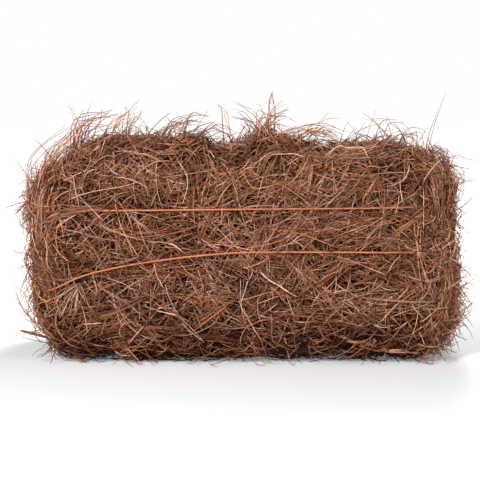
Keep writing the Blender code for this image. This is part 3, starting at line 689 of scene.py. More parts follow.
def hollow_depth(points):
    """How much deeper than elsewhere the needles lie at each place, in metres."""
    x, y, z = points[..., 0], points[..., 1], points[..., 2]
    lumps = np.sin(31 * x + 3) * np.sin(37 * z + 11 * y + 1) * np.cos(29 * y - 7 * x)
    depth = DIP_DEPTH * np.clip(lumps - 0.35, 0, 1)
    front = np.clip((-y - 0.09) / 0.05, 0, 1)
    for pixel_x, pixel_y, reach, deep in HOLLOWS:
        spot = front_place(pixel_x, pixel_y)
        gap = (x - spot.x) ** 2 + (z - spot.z) ** 2
        depth = np.maximum(depth, front * deep * np.exp(-gap / (reach * METRE_PER_PIXEL) ** 2))
    for pixels in TWINE_PIXELS:
        groove = GROOVE_DEPTH * np.exp(-(distance_to_line(x, z, pixels) / GROOVE_REACH) ** 2)
        depth = np.maximum(depth, front * groove)
    return depth


print("depth of the hollow at the foot, mm:",
      np.round(hollow_depth(np.array([front_place(338, 348)])) * 1000, 1).tolist())

# %% Mounds on top and thin lower corners
MOUNDS = [
    (80, 20, 0.021), (112, 22, 0.023), (150, 20, 0.018), (197, 16, 0.024), (268, 19, 0.025),
    (303, 18, 0.012), (393, 20, 0.005),
]
MOUND_MIDDLE_Y = -0.115
MOUND_REACH_Y = 0.075
MOUNDS_FROM_HEIGHT = 0.30
MOUNDS_GROW_OVER = 0.04
THIN_CORNERS = [(38, 352, 20, 0.018), (460, 350, 24, 0.020), (466, 300, 26, 0.013)]


def form_depth(points):
    """How much further in than the solid the bale's form lies: more at thin corners, less on mounds."""
    x, y, z = points[..., 0], points[..., 1], points[..., 2]
    depth = np.zeros(x.shape)
    for pixel_x, pixel_y, reach, deep in THIN_CORNERS:
        spot = front_place(pixel_x, pixel_y)
        gap = (x - spot.x) ** 2 + (z - spot.z) ** 2
        depth = np.maximum(depth, deep * np.exp(-gap / (reach * METRE_PER_PIXEL) ** 2))
    on_top = np.clip((z - MOUNDS_FROM_HEIGHT) / MOUNDS_GROW_OVER, 0, 1)
    for pixel_x, reach, high in MOUNDS:
        gap = ((x - front_place(pixel_x, 0).x) / (reach * METRE_PER_PIXEL)) ** 2
        gap = gap + ((y - MOUND_MIDDLE_Y) / MOUND_REACH_Y) ** 2
        depth = depth - on_top * high * np.exp(-gap)
    return depth


print("mounds on top:", len(MOUNDS), "and thin corners:", len(THIN_CORNERS))

# %% Shape of a needle's path
FLOOR_CLEARANCE = 0.0012


def arcs(places, outward, angles, lengths, bends, waves, kinks, levels):
    """Arcs in the surface, one for each needle, with a place at each level of its length."""
    level, up = face_axes(outward)
    ahead = level * np.cos(angles)[:, None] + up * np.sin(angles)[:, None]
    aside = np.cross(outward, ahead)
    s = (levels[None, :] - 0.5) * 2
    half = (lengths / 2)[:, None]
    sweep = (s ** 2 - 0.33) * (bends * lengths)[:, None] + (s ** 3 - s) * (waves * lengths)[:, None]
    kink_at, kink_slope = kinks
    sweep = sweep + np.maximum(s - kink_at[:, None], 0) * half * kink_slope[:, None]
    return places[:, None] + ahead[:, None] * (s * half)[..., None] + aside[:, None] * sweep[..., None]


def limited(gap, limit):
    """Lets a needle stand off the straw, but by no more than its limit."""
    return np.where(gap > 0, limit * (1 - np.exp(-gap / np.maximum(limit, 1e-6))), 0.0)


def laid_paths(paths, heights, rises, weaving, limits, levels):
    """Bends the arcs to the straw. rises are how far the two ends of each needle go up, in metres."""
    s = (levels[None, :] - 0.5) * 2
    wanted = heights[:, None] + rises[0][:, None] * np.maximum(-s, 0) ** 1.7
    wanted = wanted + rises[1][:, None] * np.maximum(s, 0) ** 1.7
    depth, turns, phase = weaving
    wanted = wanted + depth[:, None] * np.sin(s * turns[:, None] + phase[:, None])
    wanted = wanted - hollow_depth(paths) - form_depth(paths)
    for _ in range(4):
        gap = read_grid(grid, paths) - wanted
        paths = paths - way_out(paths) * (gap - limited(gap, limits[:, None]))[..., None]
    smooth = paths.copy()
    smooth[:, 1:-1] = 0.6 * paths[:, 1:-1] + 0.2 * (paths[:, :-2] + paths[:, 2:])
    smooth[..., 2] = np.maximum(smooth[..., 2], FLOOR_CLEARANCE)
    return smooth


def levels_of(rings):
    return np.unique(np.round(NEEDLE_MODELS[rings][0][:, 2], 5))


print("levels along a needle of 6 rings:", levels_of(6).tolist())

# %% Tones of the needles, with painted shade
FOOT_HEIGHT = 0.085
FOOT_PAINTED_SHADE = 0.15
HOLLOW_PAINTED_SHADE = 15.0
RIM_HEIGHT = 0.29
RIM_REACH = 0.06
RIM_PAINTED_SHADE = 0.28
PALE_KIND = 7
PALE_SHADE_MOST = 5


def needle_columns(places, outward, kinds, tones, weights, shading=1.0):
    """The column of the UV map for each needle, from its kind and its tone. Painted shade darkens the foot, faces
    turned down, the top edge and hollows.
    """
    kinds = np.searchsorted(np.cumsum(weights) / sum(weights), kinds % 1.0)
    # Painted shade: needles darken towards the floor and on faces turned down.
    foot = np.clip(places[:, 2] / FOOT_HEIGHT, 0, 1)
    under = np.clip(1 + outward[:, 2] * 1.2, 0, 1)
    light = FOOT_PAINTED_SHADE + (1 - FOOT_PAINTED_SHADE) * np.minimum(foot, under)
    # Painted shade: needles darken along the top edge, so the top is no brighter than the front.
    light = light * (1 - RIM_PAINTED_SHADE * np.clip((places[:, 2] - RIM_HEIGHT) / RIM_REACH, 0, 1))
    # Painted shade: needles in hollows and the twines' grooves are darker.
    tones = tones * (1 - shading * (1 - light)) - shading * HOLLOW_PAINTED_SHADE * hollow_depth(places)
    most = np.where(kinds == PALE_KIND, PALE_SHADE_MOST, SHADES - 1)
    shades = np.clip((tones * SHADES).astype(int), 0, most)
    return np.clip(kinds, 0, KINDS - 1) * SHADES + shades


print("below", FOOT_HEIGHT, "m the needles darken towards the floor")

# %% Needles of one layer
WEAVING_LENGTH = 0.055
WEAVING_MOST = 0.020
TOP_TANGLE = 2.0


def ends_of(count, look):
    """How far each needle's two ends rise. Most dive and some spring up."""
    down = -dice.uniform(0.15, 1.0, (2, count)) * look["dive"]
    spring_up = dice.uniform(*look["spring_up"], (2, count))
    return np.where(dice.random((2, count)) < look["springing_share"], spring_up, down)


def layer_of_needles(count, tufts, rings, look):
    """Scatters count needles in tufts. look gives the layer's ranges."""
    levels = levels_of(rings)
    centres = surface_places(frame["nodes"]["packed_straw"], tufts)
    centre_out = way_out(centres)
    centre_angles = lay_angles(centres, centre_out) + dice.normal(0, look["tuft_turn"], tufts)
    centre_tones = dice.normal(0, look["tuft_tone"], tufts)
    centre_heights = dice.normal(0, look["tuft_height"], tufts)
    centre_kinds = dice.random(tufts)
    centre_bends = dice.normal(0, look["tuft_bend"], tufts)
    of = dice.integers(0, tufts, count)
    level, up = face_axes(centre_out[of])
    ahead = level * np.cos(centre_angles[of])[:, None] + up * np.sin(centre_angles[of])[:, None]
    aside = np.cross(centre_out[of], ahead)
    places = centres[of] + ahead * dice.normal(0, look["tuft_length"], count)[:, None]
    places = places + aside * dice.normal(0, look["tuft_width"], count)[:, None]
    places = settle(places, np.zeros(count), 1.0)
    outward = way_out(places)
    free = dice.random(count) < look["free_share"]
    angles = np.where(
        free, dice.uniform(-math.pi / 2, math.pi / 2, count),
        centre_angles[of] + dice.normal(0, look["needle_turn"], count),
    )
    lengths = dice.triangular(look["length"][0], look["length"][1], look["length"][2], count)
    bends = centre_bends[of] + dice.normal(0, look["bend"], count)
    waves = dice.normal(0, look["bend"] * 0.8, count)
    kinked = dice.random(count) < look["kinked_share"]
    kinks = dice.uniform(-0.5, 0.5, count), np.where(kinked, dice.normal(0, 0.5, count), 0.0)
    heights = dice.uniform(*look["height"], count) + centre_heights[of]
    limits = np.where(
        dice.random(count) < look["stiff_share"],
        dice.uniform(*look["stand_off"], count), dice.exponential(look["spring"], count),
    )
    paths = arcs(places, outward, angles, lengths, bends, waves, kinks, levels)
    weaving_depth = dice.exponential(look["weaving"], count) * (1 + TOP_TANGLE * np.clip(outward[:, 2], 0, 1))
    weaving = (
        np.minimum(weaving_depth, WEAVING_MOST), lengths / WEAVING_LENGTH * math.pi,
        dice.uniform(0, 2 * math.pi, count),
    )
    paths = laid_paths(paths, heights, ends_of(count, look), weaving, limits, levels)
    flip = dice.random(count) < 0.5
    paths[flip] = paths[flip][:, ::-1]
    radii = dice.uniform(*look["radius"], count)
    kinds = np.where(free, dice.random(count), centre_kinds[of] + dice.normal(0, 0.18, count))
    tones = look["tone"] + centre_tones[of] + dice.normal(0, look["needle_tone"], count)
    # Painted shade: within a layer, needles that lie deeper are darker.
    tones = tones + look["painted_shade_by_height"] * (heights - sum(look["height"]) / 2)
    columns = needle_columns(places, outward, kinds, tones, look["kinds"])
    return bend_needles(paths, radii, columns, way_out(paths), rings)


def add_pieces(layer_name, points, faces, uvs, parts=2):
    """Parts a layer's needles from left to right into pieces with as many needles each."""
    middles = points[:, :, 0].mean(axis=1)
    bounds = np.quantile(middles, np.linspace(0, 1, parts + 1))
    which = np.clip(np.searchsorted(bounds, middles, side="right") - 1, 0, parts - 1)
    for number in range(parts):
        chosen = which == number
        piece = needle_mesh(f"{layer_name}_{number + 1}", points[chosen], faces, uvs[chosen])
        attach(piece, "root")
        print(piece.name, int(chosen.sum()), "needles,", len(piece.data.polygons), "faces")


# %% [markdown]
# ## Four layers of needles
# Deep needles fill the bed and are dark. Above them lies a mat of needles that weave over and under
# each other at mixed angles. Combed tufts lie on the mat in neat narrow bundles, as they fell from one
# twig. On top, single long needles cross at all angles and catch the light. The bed and the mat are
# parted from left to right into pieces, so that no piece grows too heavy.

# %% Make the layers
# Painted shade: the layers' tones step from the dark bed up to the pale loose needles on top.
LAYERS = {
    "bed_needles": dict(
        count=8000, tufts=800, rings=3, length=(0.04, 0.07, 0.12), height=(-0.0150, -0.0085),
        tuft_height=0.0010, weaving=0.0015, dive=0.005, spring_up=(0.0, 0.004), springing_share=0.1,
        stiff_share=0.0, stand_off=(0.0, 0.001), spring=0.0006, radius=(0.0007, 0.0010),
        tuft_turn=0.50, needle_turn=0.60, tuft_length=0.030, tuft_width=0.024, tuft_bend=0.03,
        free_share=0.40, bend=0.04, kinked_share=0.1, tone=0.11, tuft_tone=0.04, needle_tone=0.10,
        painted_shade_by_height=12.0, kinds=(4, 4, 4, 3, 3, 1, 0.5, 0.0),
    ),
    "mat_needles": dict(
        count=22000, tufts=2200, rings=3, length=(0.026, 0.046, 0.090), height=(-0.0095, -0.0004),
        tuft_height=0.0020, weaving=0.0034, dive=0.010, spring_up=(0.001, 0.009), springing_share=0.22,
        stiff_share=0.06, stand_off=(0.002, 0.010), spring=0.0014, radius=(0.00066, 0.00104),
        tuft_turn=0.70, needle_turn=0.75, tuft_length=0.020, tuft_width=0.016, tuft_bend=0.05,
        free_share=0.42, bend=0.055, kinked_share=0.12, tone=0.47, tuft_tone=0.07, needle_tone=0.33,
        painted_shade_by_height=40.0, kinds=(2, 4, 4, 4, 4, 3, 3, 1.6),
    ),
    "combed_needles": dict(
        count=2300, tufts=230, rings=6, length=(0.06, 0.10, 0.18), height=(-0.0030, 0.0016),
        tuft_height=0.0016, weaving=0.0014, dive=0.013, spring_up=(0.001, 0.007), springing_share=0.14,
        stiff_share=0.08, stand_off=(0.003, 0.012), spring=0.0018, radius=(0.00065, 0.00098),
        tuft_turn=0.45, needle_turn=0.12, tuft_length=0.016, tuft_width=0.0055, tuft_bend=0.07,
        free_share=0.0, bend=0.03, kinked_share=0.06, tone=0.54, tuft_tone=0.09, needle_tone=0.18,
        painted_shade_by_height=14.0, kinds=(1, 4, 5, 3, 3, 4, 3, 1),
    ),
    "loose_needles": dict(
        count=1900, tufts=1000, rings=6, length=(0.045, 0.080, 0.17), height=(-0.0020, 0.0030),
        tuft_height=0.0015, weaving=0.0028, dive=0.012, spring_up=(0.003, 0.016), springing_share=0.24,
        stiff_share=0.18, stand_off=(0.004, 0.018), spring=0.0024, radius=(0.0006, 0.0009),
        tuft_turn=0.60, needle_turn=0.60, tuft_length=0.030, tuft_width=0.030, tuft_bend=0.06,
        free_share=0.5, bend=0.07, kinked_share=0.28, tone=0.65, tuft_tone=0.05, needle_tone=0.20,
        painted_shade_by_height=10.0, kinds=(0.5, 2, 4, 3, 2.5, 4.5, 5, 1.5),
    ),
}
LAYER_PARTS = {"bed_needles": 2, "mat_needles": 3, "combed_needles": 1, "loose_needles": 1}
for layer_name, look in LAYERS.items():
    points, faces, uvs = layer_of_needles(look["count"], look["tufts"], look["rings"], look)
    add_pieces(layer_name, points, faces, uvs, LAYER_PARTS[layer_name])

# %% [markdown]
# ## The ragged edge
# A bale has no clean outline. Its edges are a tangle of short needles that curl back to the straw, and
# here and there a longer one stands clear. They come in clumps. Both kinds start a little inside the
# straw and leave it at a low slant. At the foot some lie on the floor.

# %% Edge needles
EDGE_START_DEPTH = 0.007
EDGE_ROOM = 0.012
EDGES = {
    "fringe_needles": dict(
        count=5000, rings=5, length=(0.018, 0.034, 0.075), slant=(0, 24, 80), curl=0.9,
        droop=(0.3, 1.9), radius=(0.00085, 0.00125), tone=0.52, clumps=1.0,
    ),
    "standing_needles": dict(
        count=150, rings=5, length=(0.035, 0.052, 0.095), slant=(15, 50, 85), curl=0.5,
        droop=(0.0, 0.9), radius=(0.0006, 0.0009), tone=0.54, clumps=2.0,
    ),
}
END_TURN = 0.55
# Edge needles take only this share of the painted shade at the foot, the top edge and in hollows.
EDGE_SHADING = 0.35
EDGE_DARKEST = 0.40
EDGE_KINDS = (1, 4, 4, 4, 4, 3, 3, 1)
COMB_PIXEL = (460, 322)
COMB_REACH = 34
COMB_SHARE = 3.0


def edge_weights(places, outward, clumps):
    """How many needles stand out at a place: more at the ends and the upper edges, and in clumps."""
    x = np.abs(places[:, 0] - middle_x) / (cad_high.x - cad_low.x) * 2
    y = np.abs(places[:, 1]) / (cad_high.y - cad_low.y) * 2
    z = places[:, 2] / (straw_high.z - straw_low.z)
    near = (x > 0.82).astype(float) + (y > 0.72) * 0.5 + (z > 0.84) * 1.0 + (z < 0.10) * 0.9
    waves = np.sin(37 * places[:, 0] + 1.5) + np.sin(61 * places[:, 0] - 40 * places[:, 2] + 2)
    waves = waves + np.sin(45 * places[:, 2] + 33 * places[:, 1])
    comb = front_place(*COMB_PIXEL)
    gap = (places[:, 0] - comb.x) ** 2 + (places[:, 2] - comb.z) ** 2
    near = near + COMB_SHARE * np.exp(-gap / (COMB_REACH * METRE_PER_PIXEL) ** 2)
    return (0.08 + near ** 2) * np.exp(clumps * 0.6 * waves)


def inside_room(paths):
    """Presses places that stand out too far back towards the bale, so that it keeps its size."""
    centre = np.array((middle_x, 0.0, 0.0))
    half = np.array((cad_high.x - middle_x, cad_high.y, cad_high.z))
    offset = paths - centre
    beyond = np.maximum(np.abs(offset) - half, 0)
    soft = half + EDGE_ROOM * (1 - np.exp(-beyond / EDGE_ROOM))
    paths = centre + np.where(beyond > 0, np.sign(offset) * soft, offset)
    paths[..., 2] = np.maximum(paths[..., 2], FLOOR_CLEARANCE)
    return paths


def curling_paths(starts, headings, slants, droops, curls, lengths, levels):
    """Paths that leave the straw at a slant, bend over by their droop and swing aside by their curl."""
    tangent, aside, outward = headings
    middles = (levels[1:] + levels[:-1]) / 2
    rise = slants[:, None] - droops[:, None] * middles
    swing = curls[:, None] * middles
    ahead = (np.cos(rise) * np.cos(swing))[..., None] * tangent[:, None]
    sideways = (np.cos(rise) * np.sin(swing))[..., None] * aside[:, None]
    steps = (ahead + sideways + np.sin(rise)[..., None] * outward[:, None]) * np.diff(levels)[None, :, None]
    travelled = np.cumsum(steps * lengths[:, None, None], axis=1)
    return starts[:, None] + np.concatenate([np.zeros((len(starts), 1, 3)), travelled], axis=1)


def edge_needles(count, rings, look):
    levels = levels_of(rings)
    places = surface_places(frame["nodes"]["packed_straw"], count * 8)
    outward = way_out(places)
    weights = edge_weights(places, outward, look["clumps"]) * (outward[:, 2] > -0.75)
    chosen = dice.choice(len(places), count, replace=False, p=weights / weights.sum())
    places, outward = places[chosen], outward[chosen]
    level, up = face_axes(outward)
    upright = math.pi / 2 + dice.normal(0, END_TURN, count)
    turn = lay_angles(places, outward) + dice.normal(0, 0.7, count)
    turn = np.where(np.abs(outward[:, 0]) > 0.6, upright, turn) + math.pi * dice.integers(0, 2, count)
    tangent = level * np.cos(turn)[:, None] + up * np.sin(turn)[:, None]
    slants = np.radians(dice.triangular(*look["slant"], count))
    lengths = dice.triangular(*look["length"], count)
    curls = dice.normal(0, look["curl"], count)
    droops = dice.uniform(*look["droop"], count)
    starts = places - outward * (EDGE_START_DEPTH + form_depth(places))[:, None]
    starts = starts - tangent * (lengths * 0.2)[:, None]
    headings = tangent, np.cross(outward, tangent), outward
    paths = inside_room(curling_paths(starts, headings, slants, droops, curls, lengths, levels))
    radii = dice.uniform(*look["radius"], count)
    tones = np.maximum(dice.normal(look["tone"], 0.18, count), EDGE_DARKEST)
    columns = needle_columns(places, outward, dice.random(count), tones, EDGE_KINDS, EDGE_SHADING)
    return bend_needles(paths, radii, columns, np.broadcast_to(outward[:, None], paths.shape), rings)


for edge_name, look in EDGES.items():
    add_pieces(edge_name, *edge_needles(look["count"], look["rings"], look), 1)

# %% [markdown]
# ## Needles and locks that stand out
# The eye picks some needles out of the thousands: one bent like an upturned V, a pale strand, a fan under
# the lower twine, a sweep over the right shoulder. Each is a line through a few places of the picture. It
# becomes a smooth curve, is laid on the straw above the rest, and its ends dive in. A lock is a line
# whose needles all differ a little from it.

# %% Smooth curves


def evenly(points, closed, step):
    """Evenly spaced points of a smooth curve through the points."""
    n = len(points)
    index = np.arange(n if closed else n - 1)
    around = [points[(index + k) % n] if closed else points[np.clip(index + k, 0, n - 1)] for k in (-1, 0, 1, 2)]
    t = np.linspace(0, 1, 24, endpoint=False)[None, :, None]
    p0, p1, p2, p3 = (p[:, None] for p in around)
    dense = 0.5 * (2 * p1 + (p2 - p0) * t + (2 * p0 - 5 * p1 + 4 * p2 - p3) * t ** 2
                   + (3 * p1 - p0 - 3 * p2 + p3) * t ** 3)
    dense = np.vstack([dense.reshape(-1, 3), points[:1] if closed else points[-1:]])
    travelled = np.concatenate([[0], np.cumsum(np.linalg.norm(np.diff(dense, axis=0), axis=1))])
    count = int(travelled[-1] / step)
    wanted = np.linspace(0, travelled[-1], count + 1)
    curve = np.stack([np.interp(wanted, travelled, dense[:, axis]) for axis in range(3)], axis=1)
    return (curve[:-1] if closed else curve), travelled[-1]


test_curve, test_length = evenly(np.array([front_place(100, 250), front_place(150, 240), front_place(200, 250)]),
                                 False, 0.002)
print("a test curve:", len(test_curve), "places in", round(test_length, 3), "m")

# %% Chosen needles
CHOSEN_RINGS = 12
CHOSEN_HEIGHT = 0.0046
CHOSEN_DIVE = 0.006
CHOSEN = [
    (6, 0.80, 1, 0, [(67, 165), (75, 178), (79, 195), (80, 210)]),
    (6, 0.62, 1, 0, [(87, 141), (90, 150), (90, 160), (85, 172), (79, 188)]),
    (5, 0.60, 2, 1, [(49, 205), (60, 194), (70, 190), (82, 186), (97, 179)]),
    (3, 0.60, 14, 4, [(40, 228), (54, 217), (70, 208), (86, 204), (108, 206)]),
    (2, 0.62, 6, 3, [(46, 219), (60, 210), (78, 204), (97, 206), (108, 211)]),
    (5, 0.75, 2, 1, [(53, 231), (62, 223), (72, 216), (85, 209)]),
    (6, 0.70, 1, 0, [(33, 225), (45, 221), (58, 219)]),
    (5, 0.55, 2, 1, [(88, 226), (97, 217), (105, 212), (120, 210)]),
    (7, 0.85, 1, 0, [(112, 142), (113, 148), (114, 153)]),
    (6, 0.75, 1, 0, [(92, 158), (103, 156), (111, 154), (117, 151)]),
    (6, 0.72, 1, 0, [(120, 134), (125, 143), (132, 152), (139, 160)]),
    (5, 0.62, 3, 1.5, [(120, 134), (132, 145), (145, 153), (160, 160), (171, 162)]),
    (3, 0.62, 3, 1.5, [(120, 155), (122, 170), (128, 182), (133, 190), (141, 197), (150, 200)]),
    (3, 0.60, 1, 0, [(126, 161), (133, 167), (133, 175), (126, 188), (122, 198)]),
    (3, 0.56, 5, 3, [(131, 163), (140, 169), (146, 185), (150, 198)]),
    (7, 0.66, 1, 0, [(107, 202), (116, 194), (124, 191), (131, 190)]),
    (5, 0.64, 1, 0, [(95, 187), (108, 191), (120, 200), (128, 212), (132, 225), (130, 240), (127, 255)]),
    (6, 0.74, 1, 0, [(130, 213), (138, 220), (147, 225)]),
    (2, 0.72, 7, 2.2, [(96, 221), (113, 229), (130, 235), (148, 240)]),
    (7, 0.80, 3, 1, [(145, 240), (160, 240), (173, 243), (184, 252), (197, 265)]),
    (5, 0.62, 2, 1.5, [(76, 217), (84, 235), (95, 248), (103, 265), (112, 280), (119, 293)]),
    (6, 0.70, 1, 0, [(134, 212), (140, 230), (147, 245), (155, 256), (167, 270)]),
    (4, 0.66, 8, 4, [(182, 128), (173, 136), (165, 143), (157, 151)]),
    (3, 0.66, 2, 1, [(163, 136), (175, 154), (186, 174), (187, 186), (184, 198), (181, 208)]),
    (7, 0.78, 1, 0, [(84, 221), (87, 226), (91, 229)]),
    (3, 0.70, 1, 0, [(209, 138), (207, 155), (208, 170), (206, 185), (203, 197)]),
    (4, 0.62, 10, 3, [(244, 170), (232, 176), (222, 187), (211, 197), (202, 201)]),
    (2, 0.62, 6, 2.5, [(243, 173), (229, 184), (220, 197), (210, 215), (203, 232), (200, 250)]),
    (5, 0.85, 1, 0, [(240, 157), (243, 172), (247, 182), (252, 187), (262, 186), (275, 183), (289, 180)]),
    (6, 0.72, 1, 0, [(240, 155), (248, 164), (254, 174), (262, 178), (283, 180)]),
    (4, 0.50, 7, 3, [(240, 160), (247, 174), (257, 186)]),
    (5, 0.72, 1, 0, [(269, 170), (267, 177), (264, 184)]),
    (2, 0.62, 6, 2.5, [(300, 128), (290, 140), (278, 149), (268, 157), (262, 168), (258, 178)]),
    (3, 0.62, 16, 12, [(313, 128), (310, 152), (306, 175), (301, 198)]),
    (5, 0.60, 5, 5, [(318, 137), (314, 160), (309, 182), (304, 202)]),
    (6, 0.66, 1, 0, [(271, 175), (282, 174), (292, 174), (290, 187)]),
    (5, 0.78, 1, 0, [(296, 210), (305, 216), (315, 224), (314, 233), (309, 243), (298, 251), (290, 254)]),
    (5, 0.72, 1, 0, [(304, 216), (290, 218), (280, 222), (273, 231), (268, 240), (264, 252)]),
    (5, 0.66, 2, 1, [(240, 209), (250, 205), (265, 204), (281, 206), (294, 210)]),
    (7, 0.62, 1, 0, [(239, 197), (228, 200), (218, 208)]),
    (5, 0.62, 1, 0, [(236, 214), (250, 230), (263, 244)]),
    (5, 0.70, 1, 0, [(221, 228), (228, 223), (234, 222)]),
    (6, 0.66, 1, 0, [(266, 228), (266, 240), (265, 250)]),
    (3, 0.60, 10, 4, [(330, 209), (345, 194), (360, 178), (373, 163)]),
    (5, 0.58, 3, 2, [(360, 202), (368, 190), (377, 176), (382, 167)]),
    (6, 0.62, 1, 0, [(362, 170), (380, 168), (400, 165), (420, 164), (437, 161)]),
    (5, 0.64, 2, 1.5, [(344, 173), (360, 173), (376, 170)]),
    (6, 0.64, 1, 0, [(381, 173), (392, 183), (404, 196)]),
    (3, 0.62, 4, 2, [(402, 201), (412, 188), (424, 173), (434, 163)]),
    (5, 0.62, 2, 2, [(428, 131), (434, 143), (437, 158), (440, 176), (440, 196)]),
    (3, 0.58, 13, 14, [(432, 146), (437, 168), (438, 186), (434, 206)]),
    (2, 0.70, 8, 2.4, [(449, 199), (438, 204), (425, 211), (410, 222), (395, 232), (380, 243), (368, 250)]),
    (7, 0.72, 1, 0, [(438, 208), (434, 216), (428, 222), (420, 225)]),
    (5, 0.66, 3, 1.6, [(321, 226), (334, 221), (345, 221), (356, 224), (366, 228)]),
    (4, 0.58, 5, 3, [(325, 219), (342, 214), (358, 218), (370, 226)]),
    (6, 0.62, 3, 3, [(363, 246), (370, 233), (381, 222), (395, 211)]),
    (3, 0.60, 2, 2, [(433, 215), (420, 225), (405, 238), (394, 250)]),
    (5, 0.70, 4, 2, [(61, 297), (56, 308), (54, 320), (54, 332), (58, 340)]),
    (5, 0.64, 1, 0, [(44, 303), (60, 300), (76, 303)]),
    (5, 0.66, 1, 0, [(38, 338), (46, 328), (55, 320)]),
    (5, 0.66, 2, 1, [(80, 282), (84, 295), (90, 308), (97, 320)]),
    (6, 0.62, 3, 1.6, [(84, 275), (98, 284), (110, 293), (122, 299), (135, 308), (143, 318), (148, 330)]),
    (4, 0.58, 14, 3.2, [(95, 318), (113, 311), (134, 301), (161, 290)]),
    (2, 0.58, 6, 2.5, [(86, 297), (97, 289), (110, 283), (126, 279), (140, 277), (153, 279), (168, 284)]),
    (6, 0.56, 1, 0, [(52, 332), (65, 345), (79, 354)]),
    (6, 0.52, 2, 2, [(79, 340), (89, 329), (98, 322)]),
    (6, 0.62, 1, 0, [(120, 320), (130, 326), (136, 333), (141, 341)]),
    (2, 0.66, 4, 2, [(140, 315), (149, 330), (155, 344), (163, 356), (175, 363)]),
    (5, 0.66, 2, 1.5, [(145, 322), (158, 335), (172, 348)]),
    (2, 0.60, 1, 0, [(114, 352), (130, 353), (146, 354)]),
    (7, 0.88, 2, 0.8, [(239, 307), (244, 290), (249, 276), (255, 264)]),
    (7, 0.82, 2, 1.0, [(249, 257), (258, 266), (268, 277), (280, 283), (290, 289), (300, 295)]),
    (5, 0.72, 1, 0, [(266, 245), (268, 262), (268, 278), (265, 290), (262, 298)]),
    (5, 0.62, 2, 1.5, [(214, 262), (223, 275), (230, 290), (235, 300)]),
    (7, 0.58, 1, 0, [(218, 308), (218, 317), (210, 325), (195, 331), (180, 335), (169, 336)]),
    (7, 0.62, 1, 0, [(238, 300), (252, 295), (264, 291), (275, 288)]),
    (7, 0.60, 1, 0, [(238, 323), (250, 316), (256, 309), (259, 302)]),
    (5, 0.62, 4, 1.6, [(224, 328), (245, 327), (262, 319), (277, 317), (285, 312), (294, 309)]),
    (6, 0.60, 1, 0, [(270, 303), (272, 318), (272, 334), (277, 353)]),
    (7, 0.70, 2, 2, [(206, 339), (215, 345), (223, 354)]),
    (6, 0.70, 1, 0, [(221, 338), (224, 345), (226, 352)]),
    (6, 0.70, 1, 0, [(246, 334), (252, 346), (244, 355), (236, 360)]),
    (5, 0.80, 2, 1, [(255, 334), (265, 345), (275, 357), (280, 363)]),
    (7, 0.75, 1, 0, [(284, 337), (288, 347), (294, 355)]),
    (6, 0.74, 1, 0, [(303, 339), (306, 325), (312, 315), (319, 308)]),
    (7, 0.78, 2, 3, [(300, 338), (310, 344), (321, 351)]),
    (6, 0.66, 1, 0, [(313, 347), (310, 357), (314, 368)]),
    (2, 0.80, 4, 1.8, [(331, 335), (319, 345), (306, 350), (290, 352)]),
    (7, 0.68, 4, 1.2, [(338, 292), (352, 288), (365, 286), (374, 281)]),
    (3, 0.62, 2, 1.4, [(341, 292), (375, 297), (400, 299), (425, 300), (442, 301), (458, 295)]),
    (6, 0.84, 1, 0, [(421, 297), (418, 315), (415, 330), (411, 348), (407, 366)]),
    (5, 0.78, 3, 1.2, [(425, 300), (431, 313), (434, 330), (437, 345), (442, 360)]),
    (7, 0.78, 1, 0, [(420, 322), (432, 313), (446, 304)]),
    (7, 0.74, 1, 0, [(420, 300), (428, 290), (431, 280)]),
    (7, 0.66, 2, 1.5, [(409, 300), (418, 311), (430, 321)]),
    (2, 0.86, 10, 2.2, [(322, 324), (332, 337), (345, 344), (360, 350), (380, 355), (400, 358), (420, 361)]),
    (7, 0.66, 1, 0, [(376, 328), (385, 326), (394, 325)]),
    (6, 0.62, 7, 7, [(343, 293), (353, 303), (365, 317), (374, 327)]),
    (5, 0.60, 2, 2, [(321, 282), (328, 300), (340, 315), (352, 323), (364, 331), (377, 338)]),
    (7, 0.62, 2, 2, [(402, 253), (390, 265), (381, 281)]),
    (3, 0.62, 3, 2, [(400, 252), (412, 262), (420, 280), (423, 294)]),
    (6, 0.58, 6, 2.4, [(382, 272), (400, 272), (416, 276), (434, 279), (452, 276)]),
    (7, 0.70, 2, 2, [(383, 339), (389, 345), (395, 351)]),
    (3, 0.58, 9, 5, [(32, 170), (35, 195), (36, 225), (33, 252)]),
    (2, 0.60, 5, 5, [(52, 168), (53, 184), (50, 200), (47, 215)]),
    (3, 0.56, 10, 5, [(42, 242), (45, 262), (44, 282), (46, 300)]),
]
OVER_TWINE = [
    (3, 0.50, 12, 6, [(424, 180), (430, 196), (433, 210), (430, 228)]),
    (2, 0.50, 10, 5, [(446, 184), (440, 200), (436, 214), (438, 230)]),
    (3, 0.48, 12, 5, [(448, 180), (446, 196), (444, 212), (447, 230)]),
    (4, 0.50, 8, 4, [(408, 196), (416, 204), (424, 212), (436, 218)]),
    (5, 0.50, 5, 3, [(404, 222), (414, 212), (426, 203), (438, 196)]),
    (3, 0.54, 14, 5, [(46, 222), (62, 213), (84, 208), (108, 208)]),
    (2, 0.56, 9, 4, [(58, 216), (78, 210), (98, 208), (114, 212)]),
    (1, 0.52, 8, 4, [(44, 214), (60, 208), (80, 207), (100, 211)]),
]
OVER_TWINE_HEIGHT = 0.0062
PALE_TONE_LESS = 0.07
SINGLE_TONE_LESS = 0.05
PLAIN_KINDS = (1, 3, 4, 6)
TONE_SPREAD = 0.19
FAN_CENTRE = (79, 283)
FAN_TIPS = [(49, 297), (52, 305), (55, 313), (59, 318), (65, 319), (70, 317), (75, 320), (86, 304), (60, 292)]
for tip in FAN_TIPS:
    middle = ((FAN_CENTRE[0] + tip[0]) / 2 - 2, (FAN_CENTRE[1] + tip[1]) / 2 - 1)
    CHOSEN.append((6, 0.62, 3, 1.6, [FAN_CENTRE, middle, tip]))


